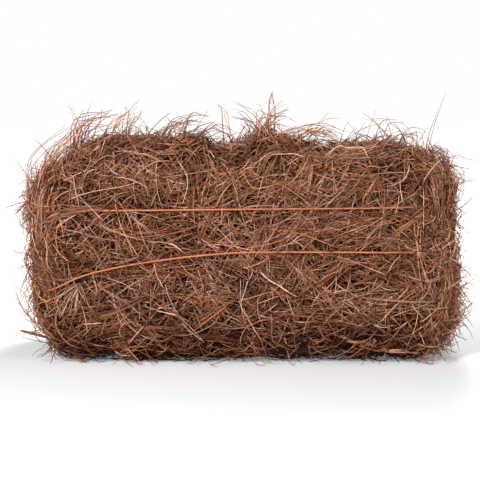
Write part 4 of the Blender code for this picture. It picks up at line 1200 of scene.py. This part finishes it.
def traced_needles(lines, levels, part_of_line, looseness, waviness):
    """Places along each needle of each traced line, and its kind, tone, thickness and line."""
    rows, kinds, tones, radii, owners = [], [], [], [], []
    for owner, (kind, tone, count, spread, pixels) in enumerate(lines):
        tone = tone - PALE_TONE_LESS * (kind == PALE_KIND)
        curve, length = evenly(np.array([front_place(*pixel) for pixel in pixels]), False, 0.001)
        shares = np.linspace(0, 1, len(curve))
        along = unit(np.gradient(curve, axis=0))
        aside = np.stack([-along[:, 2], np.zeros(len(curve)), along[:, 0]], axis=1)
        for number in range(count):
            reach = dice.uniform(*part_of_line) if count > 1 else 1.0
            first = dice.uniform(0, 1 - reach)
            sway = spread * METRE_PER_PIXEL * looseness
            offsets = dice.normal(0, sway, 2) if count > 1 else np.zeros(2)
            wave = dice.normal(0, waviness) * np.sin(9 * shares + dice.uniform(0, math.pi))
            shift = offsets[0] + (offsets[1] - offsets[0]) * shares + wave
            moved = curve + aside * shift[:, None]
            wanted = first + reach * levels
            rows.append(np.stack([np.interp(wanted, shares, moved[:, axis]) for axis in range(3)], axis=1))
            kinds.append(kind if count == 1 or dice.random() < 0.6 else dice.choice(PLAIN_KINDS))
            tones.append(tone + (dice.normal(0, TONE_SPREAD) if count > 1 else -SINGLE_TONE_LESS))
            radii.append(dice.uniform(0.00076, 0.00100))
            owners.append(owner)
    columns = np.array(kinds) * SHADES + np.clip((np.array(tones) * SHADES).astype(int), 0, SHADES - 1)
    return np.array(rows), columns, np.array(radii), np.array(owners)


def chosen_needles(rings):
    """Bends the needles of the chosen lines and lays them on top of the straw."""
    levels = levels_of(rings)
    lines = CHOSEN + OVER_TWINE
    paths, columns, radii, owners = traced_needles(lines, levels, (0.60, 1.0), 0.6, 0.0006)
    count = len(paths)
    single = np.array([line[2] == 1 for line in lines])[owners]
    heights = np.where(owners < len(CHOSEN), CHOSEN_HEIGHT, OVER_TWINE_HEIGHT)
    heights = heights * np.where(single, 1.15, dice.uniform(0.35, 1.15, count))
    rises = -(CHOSEN_DIVE + heights) * dice.uniform(0.4, 1.0, (2, count))
    still = np.zeros(count), np.ones(count), np.zeros(count)
    paths = laid_paths(paths, heights, rises, still, np.zeros(count), levels)
    return bend_needles(paths, radii, columns, way_out(paths), rings)


add_pieces("chosen_needles", *chosen_needles(CHOSEN_RINGS), 1)

# %% [markdown]
# ## Wisps round the outline
# Against the white ground the outline shows as single strands: wisps that follow the left shoulder, heaps
# on top, crossed needles, and a comb of short bits at the lower right. They are traced like the chosen
# needles, but stay in the air where the picture shows them. Only their roots are drawn into the straw.

# %% Wisps
WISPS = [
    (3, 0.62, 16, 5, [(22, 215), (26, 190), (36, 166), (52, 146), (70, 130), (84, 112)]),
    (5, 0.70, 9, 5, [(30, 190), (44, 160), (60, 142), (80, 126), (104, 114)]),
    (6, 0.72, 7, 6, [(48, 150), (66, 134), (84, 122), (100, 112), (112, 104)]),
    (3, 0.60, 3, 8, [(70, 150), (76, 132), (81, 115), (82, 98)]),
    (4, 0.62, 13, 8, [(56, 132), (80, 120), (100, 117), (120, 120)]),
    (5, 0.66, 9, 7, [(96, 140), (106, 126), (118, 116), (132, 108), (143, 103)]),
    (3, 0.60, 7, 5, [(120, 138), (126, 122), (130, 112), (128, 100)]),
    (4, 0.62, 9, 6, [(140, 134), (152, 126), (166, 122), (180, 118), (198, 108)]),
    (3, 0.62, 11, 6, [(160, 132), (176, 124), (192, 120), (208, 122)]),
    (5, 0.60, 3, 3, [(228, 122), (222, 110), (213, 104)]),
    (3, 0.56, 8, 4, [(197, 128), (206, 124), (216, 126), (228, 132), (236, 142)]),
    (4, 0.62, 9, 5, [(268, 128), (256, 118), (242, 112), (228, 108)]),
    (5, 0.66, 9, 5, [(243, 114), (262, 113), (280, 116), (300, 124)]),
    (3, 0.60, 9, 6, [(250, 128), (262, 118), (276, 112), (292, 106)]),
    (5, 0.64, 11, 5, [(270, 120), (290, 122), (310, 126), (330, 130), (350, 138)]),
    (4, 0.66, 9, 4, [(280, 130), (300, 124), (320, 124), (340, 132), (352, 140)]),
    (5, 0.72, 2, 0.7, [(268, 118), (270, 100), (272, 84)]),
    (4, 0.64, 2, 0.7, [(278, 114), (276, 101), (272, 84)]),
    (5, 0.70, 1, 0, [(298, 128), (312, 124), (322, 118), (330, 111)]),
    (6, 0.66, 1, 0, [(306, 130), (318, 121), (328, 116), (342, 114)]),
    (2, 0.50, 1, 0, [(270, 118), (262, 106), (256, 101)]),
    (5, 0.72, 2, 0.6, [(404, 138), (392, 128), (378, 115), (365, 106)]),
    (6, 0.70, 1, 0, [(398, 134), (390, 121), (376, 116), (363, 115)]),
    (6, 0.66, 1, 0, [(350, 142), (362, 130), (376, 122), (388, 114)]),
    (5, 0.66, 2, 1, [(420, 142), (410, 130), (396, 118), (384, 108)]),
    (3, 0.56, 8, 6, [(372, 136), (385, 130), (398, 128), (410, 130)]),
    (3, 0.56, 9, 6, [(392, 140), (404, 132), (416, 132), (428, 138)]),
    (1, 0.60, 2, 1, [(424, 144), (418, 132), (413, 122)]),
    (6, 0.60, 1, 0, [(432, 140), (438, 115), (448, 88)]),
    (4, 0.56, 10, 5, [(428, 138), (436, 142), (446, 150), (452, 164)]),
    (3, 0.50, 9, 3, [(452, 138), (453, 158), (450, 178), (452, 196)]),
    (5, 0.62, 1, 0, [(446, 152), (462, 154), (476, 159)]),
    (5, 0.60, 1, 0, [(448, 152), (462, 158), (469, 168), (470, 178), (465, 188), (456, 194)]),
    (3, 0.50, 12, 3, [(448, 188), (454, 210), (458, 232), (462, 252), (466, 262)]),
    (3, 0.52, 9, 5, [(448, 230), (456, 250), (462, 270), (466, 286)]),
    (3, 0.58, 14, 12, [(440, 262), (452, 268), (462, 276), (470, 286)]),
    (5, 0.60, 16, 12, [(440, 282), (454, 290), (466, 296), (474, 300)]),
    (3, 0.60, 16, 12, [(436, 300), (450, 304), (462, 308), (472, 314)]),
    (4, 0.58, 15, 10, [(436, 312), (448, 320), (458, 326), (466, 330)]),
    (3, 0.56, 15, 10, [(432, 326), (444, 334), (454, 342), (462, 346)]),
    (4, 0.56, 13, 8, [(426, 340), (438, 350), (446, 358), (452, 364)]),
    (3, 0.48, 12, 6, [(404, 350), (416, 356), (430, 362), (444, 365)]),
    (3, 0.50, 11, 4, [(28, 182), (21, 198), (22, 216), (27, 236)]),
    (1, 0.60, 10, 4, [(32, 232), (25, 250), (23, 268), (28, 286)]),
    (3, 0.50, 10, 4, [(34, 280), (28, 298), (32, 314), (42, 330)]),
    (4, 0.54, 7, 3, [(54, 348), (42, 334), (30, 318), (20, 302), (14, 286)]),
    (4, 0.50, 2, 1, [(28, 198), (12, 204), (2, 211)]),
    (4, 0.50, 1, 0, [(32, 238), (22, 243), (10, 254)]),
    (5, 0.50, 1, 0, [(36, 262), (18, 250), (3, 248)]),
    (6, 0.50, 1, 0, [(44, 340), (32, 330), (20, 310), (10, 287), (2, 271)]),
    (4, 0.50, 7, 6, [(56, 342), (40, 350), (28, 358)]),
    (1, 0.50, 16, 6, [(66, 346), (78, 358), (88, 365)]),
]
SWEEP = [
    (6, 0.64, 6, 3.0, [(326, 138), (336, 144), (350, 149), (366, 148), (382, 142)]),
    (4, 0.70, 9, 4.0, [(322, 146), (341, 155), (362, 157), (380, 152), (400, 143)]),
    (3, 0.66, 6, 3.0, [(330, 142), (345, 151), (360, 153), (378, 148)]),
]
WISP_BACK = (0.01, 0.11)
SWEEP_BACK = (-0.002, 0.014)
WISP_ROOT = 0.45
SWEEP_ROOT = 0.28
WISP_ROOT_DEPTH = 0.006
# Painted shade: the wisps are made darker, as they stand in the open light.
WISP_PAINTED_SHADE = 0.10
WISP_SHADE_LEAST = 3


def wisps(rings):
    """Bends the needles of the wisps, set back a little from the front, and draws in their roots."""
    levels = levels_of(rings)
    # Painted shade: the wisps' tones are lowered.
    darker = [(kind, tone - WISP_PAINTED_SHADE, *rest) for kind, tone, *rest in WISPS + SWEEP]
    paths, columns, radii, owners = traced_needles(darker, levels, (0.45, 0.85), 1.1, 0.0022)
    columns = columns - columns % SHADES + np.maximum(columns % SHADES, WISP_SHADE_LEAST)
    swept = owners >= len(WISPS)
    turned = swept & (dice.random(len(paths)) < 0.5)
    paths[turned] = paths[turned][:, ::-1]
    set_back = np.where(swept, dice.uniform(*SWEEP_BACK, len(paths)), dice.uniform(*WISP_BACK, len(paths)))
    paths[..., 1] += set_back[:, None]
    paths[..., 2] -= set_back[:, None] * math.tan(math.radians(VIEW_ELEVATION))
    paths[..., 1] += 0.010 * np.sin(3 * levels[None, :] + 60 * set_back[:, None])
    root = np.where(swept, SWEEP_ROOT, WISP_ROOT)[:, None]
    pull = np.clip(1 - levels[None, :] / root, 0, 1) ** 1.3
    gap = np.maximum(read_grid(grid, paths) + WISP_ROOT_DEPTH + form_depth(paths), 0)
    paths = paths - way_out(paths) * (gap * pull)[..., None]
    paths = inside_room(paths)
    return bend_needles(paths, radii, columns, way_out(paths), rings)


add_pieces("wisps", *wisps(CHOSEN_RINGS), 1)

# %% [markdown]
# ## The dark mass
# Between the needles the eye looks into the straw's depths, shown as a mass painted almost black: painted
# shade. A copy of the solid is rebuilt as an even skin and sunk below the needles, and it replaces the imported
# node.

# %% Mass painted as shade
MASS_VOXEL = 0.012
MASS_SUNK = 0.0150
UNDERSIDE_LIFT = 0.0025
FOOT_FILL_HEIGHT = 0.03
EASING_STEPS = 6


def copy_of_node(name, new_name):
    node = frame["nodes"][name]
    copy = bpy.data.objects.new(new_name, node.data.copy())
    bpy.context.scene.collection.objects.link(copy)
    copy.data.materials.clear()
    bpy.ops.object.select_all(action="DESELECT")
    copy.select_set(True)
    bpy.context.view_layer.objects.active = copy
    bpy.ops.object.mode_set(mode="EDIT")
    bpy.ops.mesh.select_all(action="SELECT")
    bpy.ops.mesh.remove_doubles(threshold=0.00001)
    bpy.ops.object.mode_set(mode="OBJECT")
    return copy


mass = copy_of_node("packed_straw", "painted_shade_mass")
step = mass.modifiers.new("even skin", "REMESH")
step.mode = "VOXEL"
step.voxel_size = MASS_VOXEL
bpy.ops.object.modifier_apply(modifier=step.name)
skin = np.array([v.co for v in mass.data.vertices])
unevenness = 0.0020 * np.sin(skin[:, 0] * 190 + skin[:, 2] * 140) * np.cos(skin[:, 1] * 170 + skin[:, 2] * 90)
beside = np.clip(1 + 1.3 * way_out(skin)[:, 2], 0, 1)
skin = settle(skin, -MASS_SUNK + unevenness - 1.2 * beside * hollow_depth(skin) - form_depth(skin), 1.0)
skin[:, 2] -= MASS_SUNK * np.clip(1 - skin[:, 2] / FOOT_FILL_HEIGHT, 0, 1)
skin[:, 2] = np.maximum(skin[:, 2], UNDERSIDE_LIFT)
mass.data.vertices.foreach_set("co", skin.astype(np.float32).ravel())
mass.data.update()
ease = mass.modifiers.new("ease folds", "SMOOTH")
ease.factor = 0.5
ease.iterations = EASING_STEPS
bpy.ops.object.modifier_apply(modifier=ease.name)
mass.data.shade_smooth()
print("packed mass:", len(mass.data.polygons), "faces")

# %% Material of the mass: painted shade, near-black with faint fibres
mass_shade_look = new_group("mass_shade_look", [
    ("Colour", "NodeSocketColor"), ("Roughness", "NodeSocketFloat"), ("Height", "NodeSocketFloat"),
])
group_out = add_node(mass_shade_look, "NodeGroupOutput", (700, 0))
coords = add_node(mass_shade_look, "ShaderNodeTexCoord", (-900, 0))
turned = add_node(mass_shade_look, "ShaderNodeMapping", (-700, 0))
turned.inputs["Rotation"].default_value = (0.3, 0.5, 0.2)
turned.inputs["Scale"].default_value = (60.0, 500.0, 500.0)
mass_shade_look.links.new(coords.outputs["Object"], turned.inputs["Vector"])
fibres = add_node(mass_shade_look, "ShaderNodeTexNoise", (-480, 0))
fibres.inputs["Scale"].default_value = 1.0
fibres.inputs["Detail"].default_value = 4.0
mass_shade_look.links.new(turned.outputs[0], fibres.inputs["Vector"])
# Painted shade: the mass is near-black, as the depths between the needles lie in shade.
fibre_and_shade_ramp = add_node(mass_shade_look, "ShaderNodeValToRGB", (-240, 60))
set_ramp(fibre_and_shade_ramp, [
    (0.30, (0.004, 0.0018, 0.001, 1)), (0.55, (0.014, 0.006, 0.0034, 1)), (0.75, (0.040, 0.017, 0.010, 1)),
])
mass_shade_look.links.new(fibres.outputs["Fac"], fibre_and_shade_ramp.inputs[0])
mass_rough = add_node(mass_shade_look, "ShaderNodeMapRange", (-240, -220))
mass_rough.inputs["To Min"].default_value = 0.75
mass_rough.inputs["To Max"].default_value = 0.95
mass_shade_look.links.new(fibres.outputs["Fac"], mass_rough.inputs["Value"])
mass_shade_look.links.new(fibre_and_shade_ramp.outputs[0], group_out.inputs["Colour"])
mass_shade_look.links.new(mass_rough.outputs[0], group_out.inputs["Roughness"])
mass_shade_look.links.new(fibres.outputs["Fac"], group_out.inputs["Height"])
mass.data.materials.append(dressed_material("painted_shade_mass", mass_shade_look, 0.0, 0.002))
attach(mass, "root")
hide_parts("packed_straw")
print("the mass replaces packed_straw")

# %% [markdown]
# ## Two twines
# The bale is tied with two loops of orange plastic twine, three plies twisted together. Each loop runs
# right round the bale lengthwise. A profile with three lobes is swept along the loop, and the tilt of
# the path turns it, which twists the strand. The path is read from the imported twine: the points of its
# tube sit in rings, and the middle of each ring is a place on the path.

# %% Path of a packed twine
RING_REACH = 0.0046
TWINE_STEP = 0.0015
TWINE_TWIST = 0.014
TWINE_THICK = 0.00180
TWINE_WAIST = 0.66
TAIL_DROP = 0.008


def ring_middles(name):
    """The middles of the rings of points of a CAD tube."""
    points = np.unique(np.round([v.co for v in frame["nodes"][name].data.vertices], 5), axis=0)
    group = np.arange(len(points))
    near = np.linalg.norm(points[:, None] - points[None], axis=2) < RING_REACH
    while True:
        joined = np.where(near, group[None, :], len(points)).min(axis=1)
        if (joined == group).all():
            break
        group = joined
    return np.array([points[group == g].mean(axis=0) for g in np.unique(group)])


def loop_and_tails(middles):
    """Parts the middles into the loop, in order round the bale, and the tails at the back."""
    behind = middles[:, 1] > 0.1
    near_x = np.abs(middles[:, None, 0] - middles[None, :, 0]) < 0.09
    top = np.where(near_x & behind[None, :], middles[None, :, 2], -1).max(axis=1)
    in_tail = behind & (middles[:, 2] < top - TAIL_DROP)
    loop = middles[~in_tail]
    turn = np.arctan2(loop[:, 1] / cad_high.y, (loop[:, 0] - middle_x) / cad_high.x)
    return loop[np.argsort(turn)], middles[in_tail]


twine_paths = {}
for name in ("twine_upper", "twine_lower"):
    loop, tails = loop_and_tails(ring_middles(name))
    twine_paths[name] = loop, tails
    print(name, "has", len(loop), "places round the bale and", len(tails), "in its two tails")

# %% Twisted strand


def strand(name, points, closed, thick, twist, widths=None):
    """A twisted three-ply strand along the points, as a mesh."""
    profile = bpy.data.curves.new(name + "_profile", "CURVE")
    profile.dimensions = "2D"
    lobes = profile.splines.new("POLY")
    lobes.points.add(5)
    lobes.use_cyclic_u = True
    for i in range(6):
        reach = thick * (1.0 if i % 2 == 0 else TWINE_WAIST)
        turn = math.pi * i / 3
        lobes.points[i].co = (reach * math.cos(turn), reach * math.sin(turn), 0, 1)
    profile_object = bpy.data.objects.new(name + "_profile", profile)
    bpy.context.scene.collection.objects.link(profile_object)
    path = bpy.data.curves.new(name, "CURVE")
    path.dimensions = "3D"
    path.twist_mode = "Z_UP"
    path.bevel_mode = "OBJECT"
    path.bevel_object = profile_object
    path.use_fill_caps = not closed
    spline = path.splines.new("POLY")
    spline.points.add(len(points) - 1)
    spline.use_cyclic_u = closed
    turns = max(1, round(len(points) * TWINE_STEP / twist))
    for i, point in enumerate(points):
        spline.points[i].co = (*point, 1)
        spline.points[i].tilt = 2 * math.pi * turns * i / len(points)
        spline.points[i].radius = widths[i] if widths is not None else 1.0
    piece = bpy.data.objects.new(name, path)
    bpy.context.scene.collection.objects.link(piece)
    bpy.ops.object.select_all(action="DESELECT")
    piece.select_set(True)
    bpy.context.view_layer.objects.active = piece
    bpy.ops.object.convert(target="MESH")
    bpy.data.objects.remove(profile_object)
    return bpy.context.object


def overhand(middle, size, step):
    """The closed line of an overhand knot that lies flat against the straw."""
    t = np.linspace(0, 2 * math.pi, 8, endpoint=False)
    t = np.linspace(0, 2 * math.pi, int(size * 30 / step), endpoint=False)
    line = np.stack([
        np.sin(t) + 2 * np.sin(2 * t), 0.8 * np.sin(3 * t), np.cos(t) - 2 * np.cos(2 * t),
    ], axis=1)
    return middle + line * size


KNOT_SIZE = 0.0017
tie_parts = {}
for name, (loop, tails) in twine_paths.items():
    points, length = evenly(loop, True, TWINE_STEP)
    part = strand(name.replace("twine_", "") + "_tie", points, True, TWINE_THICK, TWINE_TWIST)
    parts = [part]
    back = loop[loop[:, 1] > 0.1]
    knot = back[np.argmin(np.linalg.norm(back[:, None] - tails[None], axis=2).min(axis=1))]
    parts.append(strand(name + "_knot", overhand(knot, KNOT_SIZE, TWINE_STEP), True, TWINE_THICK * 0.9, TWINE_TWIST))
    for side in (-1, 1):
        own = tails[(tails[:, 0] - knot[0]) * side > 0]
        own = own[np.argsort(np.linalg.norm(own - knot, axis=1))]
        path, tail_length = evenly(np.vstack([knot[None], own]), False, TWINE_STEP)
        thin = np.interp(np.linspace(0, 1, len(path)), (0, 0.85, 1), (0.95, 0.95, 0.55))
        parts.append(strand(f"{name}_tail", path, False, TWINE_THICK, TWINE_TWIST, thin))
    bpy.ops.object.select_all(action="DESELECT")
    for piece in parts:
        piece.select_set(True)
    bpy.context.view_layer.objects.active = part
    bpy.ops.object.join()
    part.data.shade_smooth()
    tie_parts[name] = part
    print(part.name, "loop of", round(length, 3), "m,", len(part.data.polygons), "faces")

# %% Twine material
twine_look = new_group("twine_look", [
    ("Colour", "NodeSocketColor"), ("Roughness", "NodeSocketFloat"), ("Height", "NodeSocketFloat"),
])
group_out = add_node(twine_look, "NodeGroupOutput", (700, 0))
coords = add_node(twine_look, "ShaderNodeTexCoord", (-900, 0))
film = add_node(twine_look, "ShaderNodeTexNoise", (-480, 120))
film.inputs["Scale"].default_value = 900.0
film.inputs["Detail"].default_value = 2.0
worn = add_node(twine_look, "ShaderNodeTexNoise", (-480, -160))
worn.inputs["Scale"].default_value = 38.0
worn.inputs["Detail"].default_value = 3.0
for noise in (film, worn):
    twine_look.links.new(coords.outputs["Object"], noise.inputs["Vector"])
film_ramp = add_node(twine_look, "ShaderNodeValToRGB", (-240, 120))
set_ramp(film_ramp, [(0.30, (0.33, 0.082, 0.029, 1)), (0.60, (0.52, 0.155, 0.060, 1)),
                     (0.80, (0.69, 0.260, 0.115, 1))])
worn_ramp = add_node(twine_look, "ShaderNodeValToRGB", (-240, -160))
set_ramp(worn_ramp, [(0.30, grey(0.70)), (0.60, grey(1.0))])
twine_look.links.new(film.outputs["Fac"], film_ramp.inputs[0])
twine_look.links.new(worn.outputs["Fac"], worn_ramp.inputs[0])
twine_colour = multiply_colours(twine_look, (60, 60), film_ramp.outputs[0], worn_ramp.outputs[0])
twine_rough = add_node(twine_look, "ShaderNodeMapRange", (-240, -400))
twine_rough.inputs["To Min"].default_value = 0.38
twine_rough.inputs["To Max"].default_value = 0.62
twine_look.links.new(film.outputs["Fac"], twine_rough.inputs["Value"])
twine_look.links.new(twine_colour, group_out.inputs["Colour"])
twine_look.links.new(twine_rough.outputs[0], group_out.inputs["Roughness"])
twine_look.links.new(film.outputs["Fac"], group_out.inputs["Height"])
twine_material = dressed_material("orange_twine", twine_look, 0.0, 0.0004)
for name, part in tie_parts.items():
    part.data.materials.clear()
    part.data.materials.append(twine_material)
    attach(part, "root")
    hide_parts(name)
print("the ties replace", list(tie_parts))

# %% [markdown]
# ## Loose bundles
# The longest needles that stand out of the bale are pieces of the imported model. A copy of each is
# rounded with a subdivision, thickened by the little that this takes away, and given the same colours
# as the other needles. Its place along the map is its distance from its root. Across the map, the side
# turned to the front, right and up is a little paler: painted light.

# %% Round off the loose bundles
BUNDLE_SWELL = 0.00028


def dress_bundle(name, tone):
    piece = copy_of_node(name, name.replace("stray_needles", "loose_bundle"))
    swell = piece.modifiers.new("swell", "DISPLACE")
    swell.mid_level = 0.0
    swell.strength = BUNDLE_SWELL
    bpy.ops.object.modifier_apply(modifier=swell.name)
    rounding = piece.modifiers.new("rounding", "SUBSURF")
    rounding.levels = 1
    rounding.render_levels = 1
    bpy.ops.object.modifier_apply(modifier=rounding.name)
    mesh = piece.data
    mesh.shade_smooth()
    points = np.array([v.co for v in mesh.vertices])
    normals = np.array([v.normal for v in mesh.vertices])
    root = points[np.argmin(read_grid(grid, points))]
    reach = np.linalg.norm(points - root, axis=1)
    along = 0.02 + 0.96 * reach / reach.max()
    # Painted light: faces turned to the front, right and up take a paler shade.
    across = (tone + 0.5 + 0.32 * normals @ np.array((0.6, -0.5, 0.62))) / COLUMNS
    layer = mesh.uv_layers.new(name="OFBake")
    corner_points = np.array([loop.vertex_index for loop in mesh.loops])
    layer.data.foreach_set("uv", np.stack([across, along], axis=1)[corner_points].astype(np.float32).ravel())
    mesh.materials.append(needle_material)
    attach(piece, "root")
    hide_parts(name)
    return len(mesh.polygons)


bundle_names = sorted(name for name in frame["nodes"] if name.startswith("stray_needles"))
bundle_tones = dice.integers(1, 6, len(bundle_names)) * SHADES + dice.integers(3, 6, len(bundle_names))
bundle_faces = [dress_bundle(name, tone) for name, tone in zip(bundle_names, bundle_tones)]
print(len(bundle_names), "loose bundles,", sum(bundle_faces), "faces")

# %% [markdown]
# ## Bits of bark and leaf
# A rake picks up more than needles. A flake of bark, a bit of dry leaf, a cone scale and a snapped twig
# are caught in the top and the ends. Their solids are refined, and a noise roughens them a little.

# %% Roughen the bits
BIT_ROUGHNESS = 0.0011
BITS = ("bark_flake", "dry_leaf_bit", "cone_scale", "twig_stub")


def dress_bit(name, mat):
    piece = copy_of_node(name, name + "_in_the_straw")
    rounding = piece.modifiers.new("rounding", "SUBSURF")
    rounding.levels = 2
    rounding.render_levels = 2
    bpy.ops.object.modifier_apply(modifier=rounding.name)
    grain = bpy.data.textures.new(name + "_grain", "CLOUDS")
    grain.noise_scale = 0.006
    rough = piece.modifiers.new("rough", "DISPLACE")
    rough.texture = grain
    rough.texture_coords = "LOCAL"
    rough.strength = BIT_ROUGHNESS
    bpy.ops.object.modifier_apply(modifier=rough.name)
    piece.data.shade_smooth()
    piece.data.materials.append(mat)
    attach(piece, "root")
    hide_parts(name)
    print(piece.name, len(piece.data.polygons), "faces")


bark_look = new_group("bark_look", [
    ("Colour", "NodeSocketColor"), ("Roughness", "NodeSocketFloat"), ("Height", "NodeSocketFloat"),
])
group_out = add_node(bark_look, "NodeGroupOutput", (700, 0))
coords = add_node(bark_look, "ShaderNodeTexCoord", (-900, 0))
grain = add_node(bark_look, "ShaderNodeTexNoise", (-480, 120))
grain.inputs["Scale"].default_value = 420.0
grain.inputs["Detail"].default_value = 5.0
bark_look.links.new(coords.outputs["Object"], grain.inputs["Vector"])
grain_ramp = add_node(bark_look, "ShaderNodeValToRGB", (-240, 120))
set_ramp(grain_ramp, [(0.32, (0.050, 0.020, 0.012, 1)), (0.55, (0.190, 0.075, 0.040, 1)),
                      (0.75, (0.330, 0.150, 0.085, 1))])
bark_look.links.new(grain.outputs["Fac"], grain_ramp.inputs[0])
bark_rough = add_node(bark_look, "ShaderNodeMapRange", (-240, -200))
bark_rough.inputs["To Min"].default_value = 0.62
bark_rough.inputs["To Max"].default_value = 0.90
bark_look.links.new(grain.outputs["Fac"], bark_rough.inputs["Value"])
bark_look.links.new(grain_ramp.outputs[0], group_out.inputs["Colour"])
bark_look.links.new(bark_rough.outputs[0], group_out.inputs["Roughness"])
bark_look.links.new(grain.outputs["Fac"], group_out.inputs["Height"])
bark_material = dressed_material("dry_bark", bark_look, 0.0, 0.001)
for name in BITS:
    dress_bit(name, bark_material)
